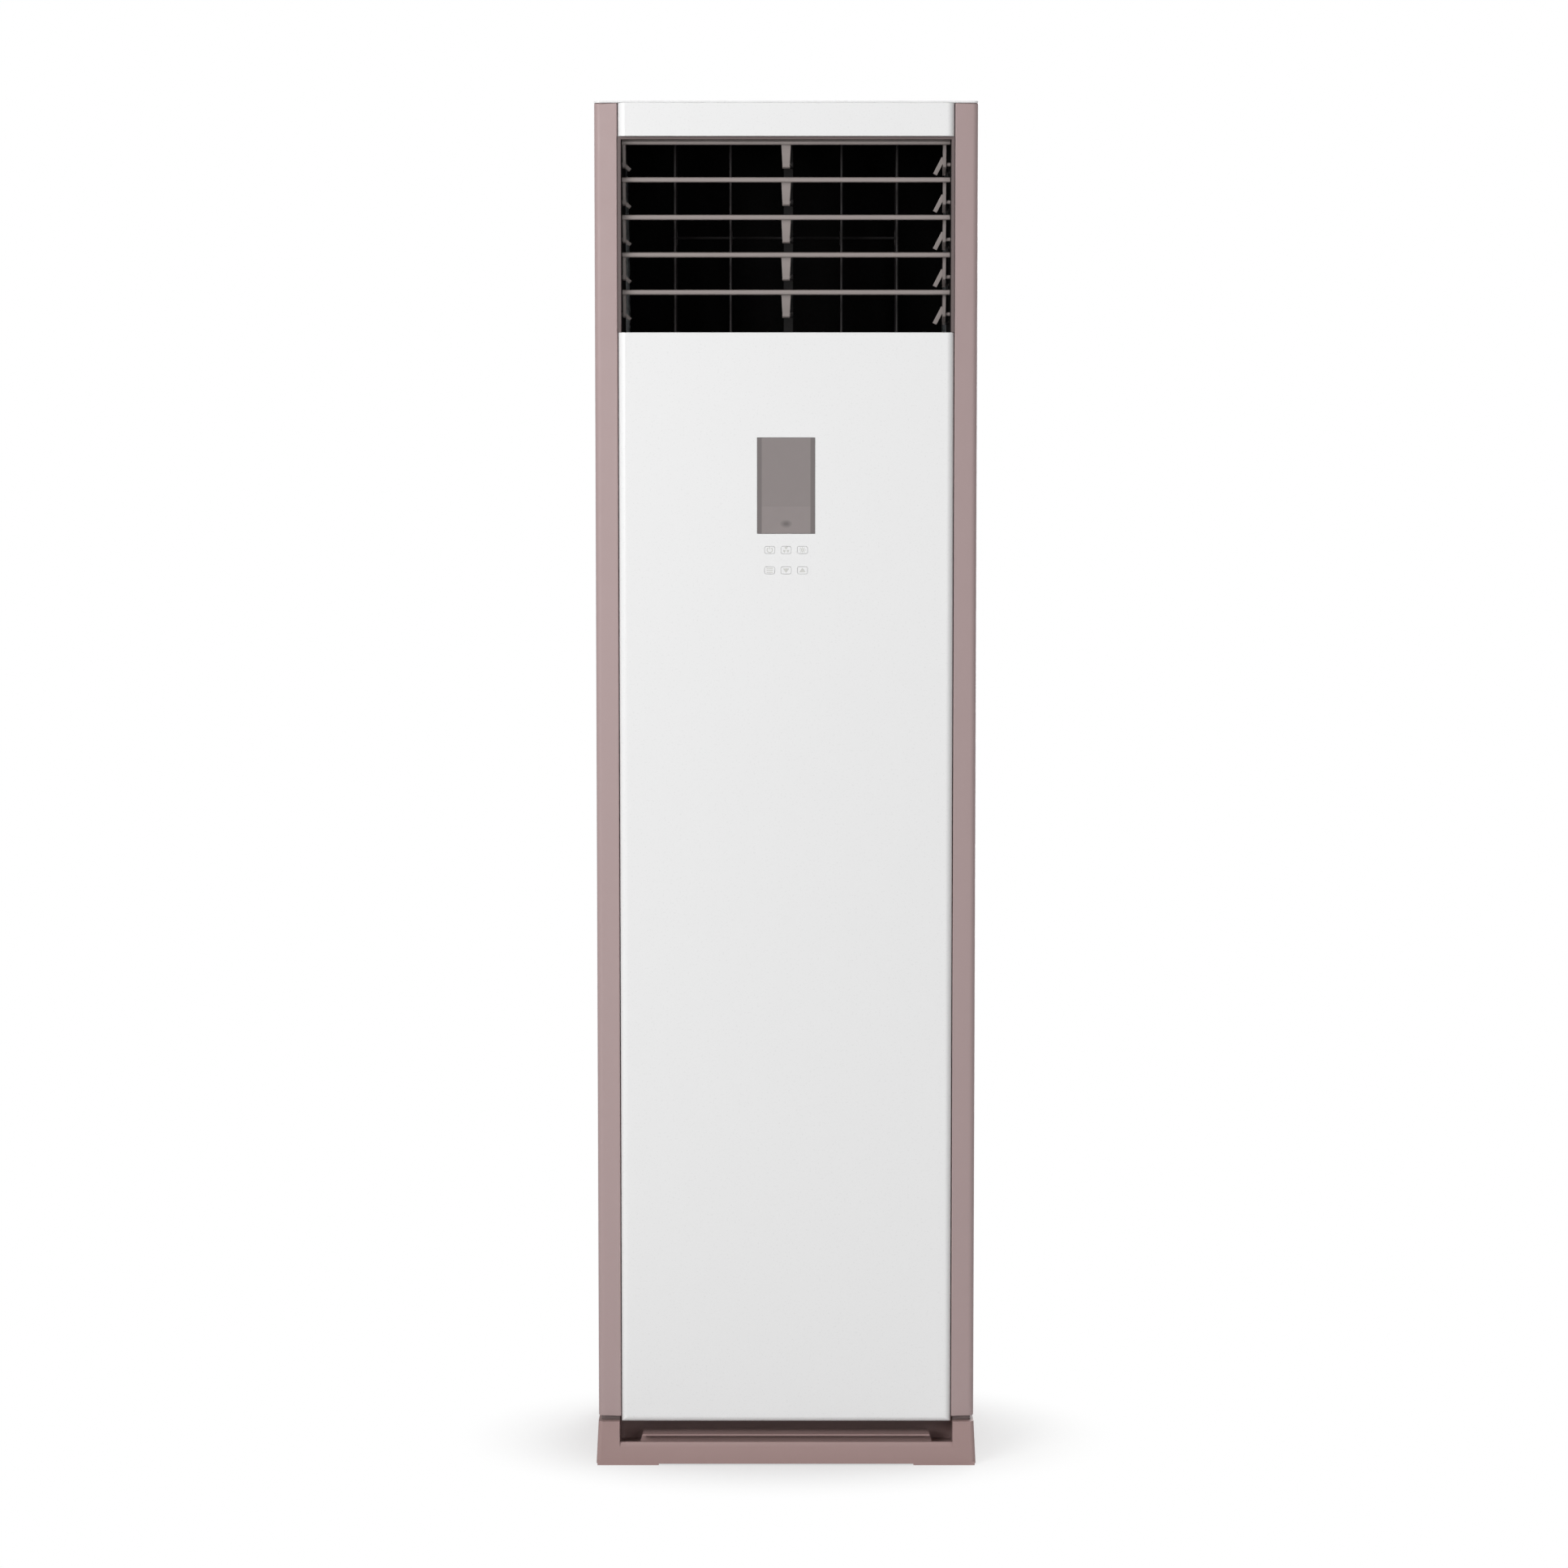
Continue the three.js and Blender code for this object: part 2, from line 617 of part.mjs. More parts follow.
// Lid with a skirt that drops inside the cabinet.
function makeLid() {
  const [z0, z1] = [HEIGHT - LID_THICKNESS, HEIGHT];
  const front = panelInside;
  const inset = HALF - sideInner + CLEAR;
  const skirtFront = flangeBack + CLEAR;
  const skirtBack = rearInside - CLEAR;
  const plate = prismXY(roundedOutline([-HALF, HALF], [front, REAR], COLUMN_RADIUS), [z0, z1], 3);
  const skirt = cut(
    block([inset - HALF, HALF - inset], [skirtFront, skirtBack], [z0 - LID_SKIRT, z0 + 1]),
    block(
      [inset + 2 - HALF, HALF - inset - 2],
      [skirtFront + 2, skirtBack - 2],
      [z0 - LID_SKIRT - 1, z0],
    ),
    // The column's inner flange and the header pass in front of the skirt's corners.
    block([columnInner - 1, HALF], [FRONT, columnFront + COLUMN_RETURN + CLEAR], [0, z0]),
    block([-HALF, 1 - columnInner], [FRONT, columnFront + COLUMN_RETURN + CLEAR], [0, z0]),
  );
  return join(plate, skirt);
}
add("top_cover", makeLid(), white);

// Cabinet side: a sheet with a rear flange and the window of the intake.
function makeSidePanel() {
  const sheetFront = columnFront + COLUMN_WRAP - 20;
  const flange = 16;
  const flangeY = REAR - SHEET - CLEAR;
  const outline = outlineOf([
    [sideOuter, sheetFront],
    [sideOuter, flangeY],
    [sideOuter - flange, flangeY],
    [sideOuter - flange, flangeY - SHEET],
    [sideInner, flangeY - SHEET],
    [sideInner, sheetFront],
  ]);
  const intake = prismYZ(roundedOutline(intakeY, INTAKE_Z, 6), [sideInner - 1, sideOuter + 1]);
  return cut(prismXY(outline, [sheetBottom, columnTop]), intake);
}
const sidePanel = makeSidePanel();
for (const [name, side] of sides) add(`side_panel_${name}`, mirrored(sidePanel, side), coated);

// Rear sheet with pressed ribs, the pipe port and the cable hole.
const rearHalf = sideOuter - CLEAR;
const glandPlace = [-portX, PORT_Z];
function makeRearPanel() {
  const [y0, y1] = [REAR - SHEET, REAR];
  let sheet = block([-rearHalf, rearHalf], [y0, y1], [sheetBottom, columnTop]);
  const ribOutline = (z, shrink) => {
    const half = RIB_HALF - shrink;
    const radius = RIB_RADIUS - shrink;
    return roundedOutline([-half, half], [z - radius, z + radius], radius - CLEAR);
  };
  for (let i = 0; i < RIB_COUNT; i += 1) {
    const z = FAN_Z + RIB_RISE + i * RIB_PITCH;
    sheet = cut(
      join(sheet, prismXZ(ribOutline(z, 0), [y0 - RIB_PRESS, y0 + SHEET / 4], 1)),
      prismXZ(ribOutline(z, SHEET), [y1 - RIB_PRESS, y1 + SPILL], 1),
    );
  }
  const through = [y0 - SPILL, y1 + SPILL];
  const port = drill("y", PORT_RADIUS, through, [portX, PORT_Z], 24);
  const cableHole = drill("y", GLAND_RADIUS, through, glandPlace, 12);
  return cut(sheet, port, cableHole);
}
add("rear_panel", makeRearPanel(), zinc);

// Rubber ring that lines the pipe port: a groove holds the sheet's edge.
function makeGrommet() {
  const [y0, y1] = [REAR - SHEET, REAR];
  const bore = PORT_RADIUS - 4;
  const throat = PORT_RADIUS - CLEAR;
  const brim = PORT_RADIUS + 4;
  const profile = [
    [bore, y0 - 3],
    [brim, y0 - 3],
    [brim, y0 - CLEAR],
    [throat, y0 - CLEAR],
    [throat, y1],
    [bore, y1],
  ];
  return turned(profile, [portX, PORT_Z], 16);
}
add("pipe_grommet", makeGrommet(), rubber);

// Cable gland: inner nut, neck through the sheet and a bore for the cable.
function makeGland() {
  const [y0, y1] = [REAR - SHEET, REAR];
  const bore = 5;
  const profile = [
    [bore, y0 - 14],
    [GLAND_RADIUS + 3, y0 - 14],
    [GLAND_RADIUS + 3, y0 - CLEAR],
    [GLAND_RADIUS - CLEAR, y0 - CLEAR],
    [GLAND_RADIUS - CLEAR, y1],
    [bore, y1],
  ];
  return turned(profile, glandPlace, 12);
}
add("cable_gland", makeGland(), black);

// ---------------------------------------------------------------- side intakes
const hingeX = sideOuter + CLEAR + GRILLE_THICKNESS;
const grilleY = [intakeY[0] - INTAKE_FRAME, intakeY[1] + INTAKE_FRAME];
const grilleZ = [INTAKE_Z[0] - INTAKE_FRAME, INTAKE_Z[1] + INTAKE_FRAME];
function makeGrille() {
  const [x0, x1] = [sideOuter + CLEAR, hingeX];
  const [low, high] = INTAKE_Z;
  const count = Math.floor((high - low) / SLAT_PITCH);
  const start = (low + high - count * SLAT_PITCH) / 2;
  const half = (SLAT_PITCH - SLAT_THICKNESS) / 2;
  const fall = SLAT_SLOPE / 2;
  let plate = prismYZ(roundedOutline(grilleY, grilleZ, 8), [x0, x1]);
  for (let i = 0; i < count; i += 1) {
    const z = start + (i + 0.5) * SLAT_PITCH;
    const slot = outlineOf([
      [x0 - 1, z - half + fall],
      [x1 + 1, z - half - fall],
      [x1 + 1, z + half - fall],
      [x0 - 1, z + half + fall],
    ]);
    plate = cut(plate, prismXZ(slot, intakeY));
  }
  // Hooks that hang over the window's lower edge.
  const middle = (intakeY[0] + intakeY[1]) / 2;
  const hooks = [-1, 1].map((end) => {
    const y = middle + end * 45;
    return block([sideInner - 5, x1 - 1], [y - 6, y + 6], [low + CLEAR, low + CLEAR + 2]);
  });
  return join(plate, ...hooks);
}
// Washable filter: a frame round a cloth, clipped behind the grille.
function makeFilter() {
  const margin = 4;
  const x1 = sideOuter;
  const x0 = x1 - FILTER_THICKNESS;
  const spanY = [intakeY[0] + margin, intakeY[1] - margin];
  const spanZ = [INTAKE_Z[0] + margin, INTAKE_Z[1] - margin];
  const rim = 8;
  let filter = block([x0, x1], spanY, spanZ);
  const bays = 4;
  const bay = (spanZ[1] - spanZ[0] - rim) / bays;
  for (let i = 0; i < bays; i += 1) {
    const z = spanZ[0] + rim + i * bay;
    const spanBay = [z, z + bay - rim];
    const spanIn = [spanY[0] + rim, spanY[1] - rim];
    filter = cut(
      filter,
      block([x0 - 1, x0 + FILTER_THICKNESS / 2 - 1], spanIn, spanBay),
      block([x0 + FILTER_THICKNESS / 2 + 1, x1 + 1], spanIn, spanBay),
    );
  }
  return filter;
}
const grille = makeGrille();
const filter = makeFilter();
for (const [name, side] of sides) {
  add(`intake_grille_${name}`, mirrored(grille, side), white);
  add(`air_filter_${name}`, mirrored(filter, side), meshCloth);
}

// ---------------------------------------------------------------- display and keys
function makeDisplayWindow() {
  const half = DISPLAY_WIDTH / 2;
  const lens = softSlab([-half, half], [displayBottom, displayTop], [FRONT, panelInside], 0.6);
  const brim = 3;
  const back = block(
    [-half - brim, half + brim],
    [panelInside + CLEAR, panelInside + CLEAR + 1.2],
    [displayBottom - brim, displayTop + brim],
  );
  const bridge = block(
    [1 - half, half - 1],
    [panelInside - 1, panelInside + 1],
    [displayBottom + 1, displayTop - 1],
  );
  return join(lens, bridge, back);
}
add("display_window", makeDisplayWindow(), smoked);

// Tray behind the panel that holds the window and the key board.
const keyFront = FRONT;
const keyBack = panelInside + 4;
const boardFront = keyBack + KEY_TRAVEL + 0.2;
const housingBack = boardFront + 6;
function makeDisplayHousing() {
  const half = DISPLAY_WIDTH / 2 + 9;
  const lowest = keyPlaces[keyPlaces.length - 1][1] - KEY_HEIGHT / 2 - 9;
  const highest = displayTop + 9;
  const front = panelInside + CLEAR;
  const rim = 3;
  const tray = cut(
    block([-half, half], [front, housingBack], [lowest, highest]),
    block([rim - half, half - rim], [front - 1, boardFront], [lowest + rim, highest - rim]),
  );
  const divider = block(
    [rim - half - 1, half - rim + 1],
    [front, boardFront + 1],
    [displayBottom - 8, displayBottom - 5],
  );
  const post = (x) => block(
    [x - 2, x + 2],
    [panelInside + CLEAR + 1.2 + CLEAR, boardFront + 1],
    [displayBottom + 4, displayTop - 4],
  );
  return join(tray, divider, post(half - rim - 7), post(rim + 7 - half));
}
add("display_housing", makeDisplayHousing(), black);

function makeKey() {
  const cap = new THREE.ExtrudeGeometry(keyOutline(0), {
    depth: keyBack - keyFront,
    bevelEnabled: false,
    curveSegments: 1,
  });
  cap.rotateX(Math.PI / 2).translate(0, keyBack, 0);
  const [w, h] = [KEY_WIDTH / 2 + 1.5, KEY_HEIGHT / 2 + 1.5];
  const collar = block([-w, w], [panelInside + CLEAR, panelInside + CLEAR + 1.2], [-h, h]);
  return join(toSolid(cap), collar);
}
const key = makeKey();
keyPlaces.forEach(([x, z], i) => {
  add(`key_${i + 1}`, key, white, groupAt(x, 0, z));
});

// ---------------------------------------------------------------- outlet
const bezelFront = columnFront - 0.5;
const bezelBack = flangeBack + CLEAR + 2.5;
const bezelHalf = columnInner - PANEL_GAP / 2;
const outletTop = headerBottom - BEZEL_TOP; // lower edge of the frame's top strip
const ductFloor = panelTop; // inner faces of the duct
const ductRoof = headerBottom + DUCT_HEADROOM;
const bezelFoot = 12; // how far the frame's flange reaches down behind the panel
function makeBezel() {
  const flangeTop = ductRoof + DUCT_WALL;
  const flangeBottom = ductFloor - bezelFoot;
  const spanX = [-bezelHalf, bezelHalf];
  const frame = block(
    spanX,
    [bezelFront, flangeBack + CLEAR + SPILL],
    [panelTop + CLEAR, headerBottom - CLEAR],
  );
  const flange = block(spanX, [flangeBack + CLEAR, bezelBack], [flangeBottom, flangeTop]);
  const hole = block(
    [-outletHalf, outletHalf],
    [bezelFront - SPILL, bezelBack + SPILL],
    [ductFloor, outletTop],
  );
  const sill = block(
    [-outletHalf, outletHalf],
    [bezelFront - SPILL, flangeBack + CLEAR],
    [ductFloor - SPILL, outletTop],
  );
  return cut(join(frame, flange), hole, sill);
}
add("outlet_bezel", makeBezel(), darkTaupe);

const ductFront = bezelBack + CLEAR;
const ductBack = FRONT + DUCT_BACK;
const louverY = FRONT + LOUVER_BACK;
const louverZ = [];
for (let i = 0; i < LOUVER_COUNT; i += 1) {
  louverZ.push(headerBottom - LOUVER_DROP - LOUVER_OFFSET - i * LOUVER_PITCH);
}
const vaneY = FRONT + VANE_BACK;
const vaneX = [];
for (let i = 0; i < VANE_COUNT; i += 1) vaneX.push((i - (VANE_COUNT - 1) / 2) * VANE_PITCH);
const lead = (LOUVER_COUNT - 1) / 2; // the louver that the motor turns
const leadVane = (VANE_COUNT - 1) / 2;
const eyeX = [LEG_WIDTH / 2 + 1.3, LEG_WIDTH / 2 + 4.3]; // bearing eye beside a centre leg
const bladeEnd = outletHalf - BLADE_GAP;
const hubPin = 2;

// Black duct behind the frame, with a post that carries the louvers' centre bearings.
function makeDuct() {
  const outerHalf = outletHalf + DUCT_WALL;
  let duct = cut(
    block(
      [-outerHalf, outerHalf],
      [ductFront, ductBack],
      [ductFloor - DUCT_WALL, ductRoof + DUCT_WALL],
    ),
    block(
      [-outletHalf, outletHalf],
      [ductFront - SPILL, ductBack + SPILL],
      [ductFloor, ductRoof],
    ),
  );
  const postY = [FRONT + POST_BACK, FRONT + POST_BACK + 5];
  duct = join(duct, block([-3, eyeX[1]], postY, [ductFloor - 1, ductRoof + 1]));
  for (const z of louverZ) {
    const arm = block(eyeX, [louverY, postY[0] + 1], [z - 2.5, z + 2.5]);
    const eye = bar("x", 4.5, eyeX, [louverY, z]);
    duct = cut(
      join(duct, arm, eye),
      drill("x", hubPin + RUN, [eyeX[0] - 1, eyeX[1] + 1], [louverY, z]),
      drill("x", PIVOT_RADIUS + RUN, [outletHalf - 1, outerHalf + 1], [louverY, z]),
      drill("x", PIVOT_RADIUS + RUN, [-outerHalf - 1, 1 - outletHalf], [louverY, z]),
    );
  }
  for (const x of vaneX) {
    duct = cut(
      duct,
      drill("z", PIVOT_RADIUS + RUN, [ductFloor - DUCT_WALL - 1, ductFloor + 1], [x, vaneY]),
      drill("z", PIVOT_RADIUS + RUN, [ductRoof - 1, ductRoof + DUCT_WALL + 1], [x, vaneY]),
    );
  }
  return duct;
}
add("outlet_duct", makeDuct(), black);

// A louver about its own pivot: a tapered blade on two end plates and a centre leg.
// The link rod runs outside the right end plate, so only the blade's front reaches past it.
const cheekOuter = bladeEnd - LINK_THICKNESS - 2 * LINK_GAP;
const crankPlace = [
  CRANK_ARM * Math.cos(radians(CRANK_ANGLE)),
  CRANK_ARM * Math.sin(radians(CRANK_ANGLE)),
];
const linkX = [cheekOuter + LINK_GAP, cheekOuter + LINK_GAP + LINK_THICKNESS];
const motorSocket = 4;
function makeLouver(isLead) {
  const front = -LOUVER_CHORD / 2;
  const back = LOUVER_CHORD / 2;
  const blade = new THREE.Shape();
  blade.moveTo(back, LOUVER_OFFSET + LOUVER_TAIL);
  blade.absarc(front + LOUVER_LIP / 2, LOUVER_OFFSET, LOUVER_LIP / 2, Math.PI / 2, Math.PI * 1.5);
  blade.lineTo(front + LOUVER_LIP, LOUVER_OFFSET - LOUVER_LIP / 2 + 0.4);
  blade.lineTo(front + LOUVER_LIP + 3, LOUVER_OFFSET);
  blade.lineTo(back, LOUVER_OFFSET);
  const ear = prismYZ(blade, [cheekOuter - 1, bladeEnd], 2).intersect(
    block([0, bladeEnd + SPILL], [front - SPILL, front + EAR_DEPTH], [0, LOUVER_CHORD]),
  );
  let louver = join(prismYZ(blade, [-bladeEnd, cheekOuter], 2), ear);
  // End plate: from the blade down to the pivot boss.
  const boss = 5;
  const cheek = new THREE.Shape();
  cheek.moveTo(back - 14, LOUVER_OFFSET + 0.5);
  cheek.lineTo(front + LOUVER_LIP + 4, LOUVER_OFFSET + 0.5);
  cheek.lineTo(-boss, 4);
  cheek.absarc(0, 0, boss, Math.PI, Math.PI * 2);
  cheek.lineTo(boss, 4);
  const rightCheek = prismYZ(cheek, [cheekOuter - CHEEK, cheekOuter]);
  const leftCheek = prismYZ(cheek, [-bladeEnd, CHEEK - bladeEnd]);
  const pinEnd = outletHalf + DUCT_WALL - 0.5;
  const rightEnd = isLead ? outletHalf + DUCT_WALL + CLEAR + motorSocket - 0.5 : pinEnd;
  louver = join(
    louver,
    rightCheek,
    leftCheek,
    bar("x", PIVOT_RADIUS, [cheekOuter - 1, rightEnd], [0, 0]),
    bar("x", PIVOT_RADIUS, [-pinEnd, 1 - bladeEnd], [0, 0]),
  );
  // Crank on the right end plate, for the link rod.
  const [cy, cz] = crankPlace;
  const crankWeb = outlineOf([
    [-1, -boss + 0.5],
    [cy - 2, cz - 3.2],
    [cy + 2, cz + 3.2],
    [1, boss + 2],
  ]);
  louver = join(
    louver,
    prismYZ(crankWeb, [cheekOuter - CHEEK, cheekOuter]),
    bar("x", 4, [cheekOuter - CHEEK, cheekOuter], [cy, cz]),
    bar("x", CRANK_RADIUS, [cheekOuter - 1, linkX[1] + 1], [cy, cz]),
  );
  // Stiffening fingers inside the end plates: they slant in and down past the pivot.
  const fingerY = [3, 7];
  const rightFinger = outlineOf([
    [cheekOuter - 5.4, 10.3],
    [cheekOuter - 0.6, 7.7],
    [cheekOuter - 11.6, -13.4],
    [cheekOuter - 16.4, -11],
  ]);
  const leftFinger = outlineOf([
    [1 - bladeEnd, -3],
    [1 - bladeEnd, 4],
    [11 - bladeEnd, -5],
    [8 - bladeEnd, -8.5],
  ]);
  louver = join(louver, prismXZ(rightFinger, fingerY), prismXZ(leftFinger, fingerY));
  // Centre leg with its bearing pin.
  const leg = new THREE.Shape();
  leg.moveTo(boss + 1, LOUVER_OFFSET + 0.5);
  leg.lineTo(front + LOUVER_LIP, LOUVER_OFFSET + 0.5);
  leg.lineTo(-boss, 2);
  leg.absarc(0, 0, boss, Math.PI, Math.PI * 2);
  const legHalf = LEG_WIDTH / 2;
  const legTop = legHalf + LEG_SPREAD / 2;
  const legFace = outlineOf([
    [-legHalf, -LOUVER_OFFSET],
    [legHalf, -LOUVER_OFFSET],
    [legHalf, 0],
    [legTop, LOUVER_OFFSET + 1],
    [-legTop, LOUVER_OFFSET + 1],
    [-legHalf, 0],
  ]);
  return join(
    louver,
    prismYZ(leg, [-legTop, legTop], 2).intersect(prismXZ(legFace, [front, back])),
    bar("x", hubPin, [legHalf - 1, eyeX[1]], [0, 0]),
  );
}
const louver = makeLouver(false);
const leadLouver = makeLouver(true);
louverZ.forEach((z, i) => {
  add(`louver_${i + 1}`, i === lead ? leadLouver : louver, taupe, groupAt(0, louverY, z));
});

// Rod that ties the five cranks together.
function makeLouverLink() {
  const [cy, cz] = crankPlace;
  const y = louverY + cy;
  const top = louverZ[0] + cz;
  const bottom = louverZ[LOUVER_COUNT - 1] + cz;
  const half = LINK_WIDTH / 2;
  const outline = new THREE.Shape();
  outline.absarc(y, top, half, 0, Math.PI);
  outline.absarc(y, bottom, half, Math.PI, Math.PI * 2);
  let rod = prismYZ(outline, linkX, 2);
  for (const z of louverZ) {
    rod = cut(rod, drill("x", CRANK_RADIUS + RUN, [linkX[0] - 1, linkX[1] + 1], [y, z + cz]));
  }
  return rod;
}
add("louver_link", makeLouverLink(), black);

// Small geared motor: a can with two ears and a socket for the shaft that it turns.
function makeGearMotor() {
  const ears = 22;
  const screwHole = (x) => bar("y", 1.6, [-SPILL, 4], [x, 0], 6);
  return cut(
    join(bar("y", 15, [0, 18], [0, 0], 20), block([-ears, ears], [0, 2], [-5, 5])),
    drill("y", PIVOT_RADIUS + RUN, [-SPILL, motorSocket], [0, 0]),
    screwHole(ears - 4),
    screwHole(4 - ears),
  );
}
const gearMotor = makeGearMotor();
const louverMotor = add(
  "louver_motor",
  gearMotor,
  grey,
  groupAt(outletHalf + DUCT_WALL + CLEAR, louverY, louverZ[lead]),
);
louverMotor.rotation.set(Math.PI / 2, 0, -Math.PI / 2);

// Upright vanes behind the louvers.
const ductMiddle = (ductFloor + ductRoof) / 2;
function makeVane(isLead) {
  const half = VANE_THICKNESS / 2;
  const play = 1;
  const [z0, z1] = [ductFloor + play - ductMiddle, ductRoof - play - ductMiddle];
  const plate = block([-half, half], [-VANE_FRONT_REACH, VANE_REAR_REACH], [z0, z1]);
  const notch = block([-half - 1, half + 1], [VANE_CRANK - 12, VANE_REAR_REACH + 1], [-8, 8]);
  const nose = bar("z", half + 0.4, [z0, z1], [0, -VANE_FRONT_REACH], 6);
  const crankPin = bar("z", CRANK_RADIUS, [-9, 9], [0, VANE_CRANK]);
  const pinLow = ductFloor - DUCT_WALL + 0.5 - ductMiddle;
  const pinHigh = ductRoof + DUCT_WALL - 0.5 - ductMiddle;
  const low = isLead ? pinLow - CLEAR - motorSocket : pinLow;
  return join(
    cut(plate, notch),
    nose,
    crankPin,
    bar("z", PIVOT_RADIUS, [low, z0 + 3], [0, 0]),
    bar("z", PIVOT_RADIUS, [z1 - 3, pinHigh], [0, 0]),
  );
}
const vane = makeVane(false);
const leadVaneSolid = makeVane(true);
vaneX.forEach((x, i) => {
  add(`vane_${i + 1}`, i === leadVane ? leadVaneSolid : vane, black, groupAt(x, vaneY, ductMiddle));
});

function makeVaneLink() {
  const y = vaneY + VANE_CRANK;
  const half = LINK_WIDTH / 2;
  const span = [ductMiddle - LINK_THICKNESS / 2, ductMiddle + LINK_THICKNESS / 2];
  const outline = new THREE.Shape();
  outline.absarc(vaneX[VANE_COUNT - 1], y, half, -Math.PI / 2, Math.PI / 2);
  outline.absarc(vaneX[0], y, half, Math.PI / 2, Math.PI * 1.5);
  let rod = prismXY(outline, span, 2);
  for (const x of vaneX) {
    rod = cut(rod, drill("z", CRANK_RADIUS + RUN, [span[0] - 1, span[1] + 1], [x, y]));
  }
  return rod;
}
add("vane_link", makeVaneLink(), black);

const vaneMotor = add(
  "vane_motor",
  gearMotor,
  grey,
  groupAt(vaneX[leadVane], vaneY, ductFloor - DUCT_WALL - CLEAR),
);
vaneMotor.rotation.x = -Math.PI / 2;

// ---------------------------------------------------------------- fan
const scrollFront = FRONT + SCROLL_FRONT;
const runningGap = 10; // impeller to the scroll's walls
// The motor stands against the rear, and the impeller fills what is left of the depth.
const motorFront = REAR - SHEET - MOTOR_GAP - MOTOR_LENGTH;
const bracketBack = motorFront - CLEAR;
const scrollBack = bracketBack - BRACKET_THICKNESS - CLEAR;
const scrollTop = DECK_Z - CLEAR;
const spiralSweep = TONGUE_ANGLE + 180;
const inletRadius = IMPELLER_RADIUS - BLADE_CHORD - 2;

// The spiral opens clockwise, seen from the front, from the tongue to the left wall;
// there it runs straight up to the outlet. inset moves the outline inwards.
function scrollOutline(inset, top) {
  const points = [];
  const steps = 20;
  for (let i = 0; i <= steps; i += 1) {
    const turn = (spiralSweep * i) / steps;
    const angle = radians(TONGUE_ANGLE - turn);
    const radius = scrollStart + (SCROLL_GROWTH * turn) / spiralSweep + SCROLL_WALL - inset;
    points.push([fanX + radius * Math.cos(angle), FAN_Z + radius * Math.sin(angle)]);
  }
  const outletRight = fanX + SCROLL_MOUTH + SCROLL_WALL - inset;
  points.push([points[steps][0], top], [outletRight, top]);
  return outlineOf(points.reverse());
}
const scrollLeft = fanX - scrollReach;
const scrollRight = fanX + SCROLL_MOUTH + SCROLL_WALL;
function makeScroll() {
  const wall = SCROLL_WALL;
  const brim = SCROLL_BRIM;
  const outer = prismXZ(scrollOutline(0, scrollTop), [scrollFront, scrollBack]);
  const inner = prismXZ(scrollOutline(wall, scrollTop + 1), [scrollFront + wall, scrollBack - wall]);
  const collar = block(
    [scrollLeft - brim, scrollRight + brim],
    [scrollFront - brim, scrollBack + brim],
    [scrollTop - 2, scrollTop],
  );
  const footTop = FAN_Z - scrollStart;
  const feet = FOOT_PLACES.map((x) =>
    block(
      [fanX + x - 12, fanX + x + 12],
      [scrollFront + 6, scrollBack - 6],
      [panTop + CLEAR, footTop],
    ),
  );
  const axis = [fanX, FAN_Z];
  const bellSpan = [scrollFront - SPILL, scrollFront + wall + SPILL];
  const motorSpan = [scrollBack - wall - SPILL, scrollBack + SPILL];
  const bellHole = bar("y", inletRadius + 6, bellSpan, axis, 32);
  const motorHole = bar("y", MOTOR_RADIUS - 12, motorSpan, axis, 20);
  return cut(join(outer, collar, ...feet), inner, bellHole, motorHole);
}
add("fan_scroll", makeScroll(), grey);

// Rolled inlet ring that leads the air into the impeller's eye.
const impellerFront = scrollFront + SCROLL_WALL + runningGap;
const impellerBack = scrollBack - SCROLL_WALL - runningGap;
function makeBellmouth() {
  const face = scrollFront - CLEAR;
  const wall = 2;
  const roll = 14;
  const flange = inletRadius + 24;
  const arcPoint = (radius, angle) => [
    inletRadius + roll - radius * Math.cos(angle),
    face - radius * Math.sin(angle),
  ];
  const airSide = [];
  const backSide = [];
  const first = Math.asin(wall / (roll - wall));
  const steps = 3;
  for (let i = 0; i <= steps; i += 1) {
    airSide.push(arcPoint(roll, (Math.PI / 2) * (1 - i / steps)));
    backSide.push(arcPoint(roll - wall, first + (Math.PI / 2 - first) * (i / steps)));
  }
  const neckEnd = impellerFront - 2;
  const profile = [
    ...airSide,
    [inletRadius, neckEnd],
    [inletRadius + wall, neckEnd],
    [inletRadius + wall, face],
    [flange, face],
    [flange, face - wall],
    ...backSide,
  ];
  return turned(profile.reverse(), [fanX, FAN_Z], 20);
}
add("bellmouth", makeBellmouth(), grey);

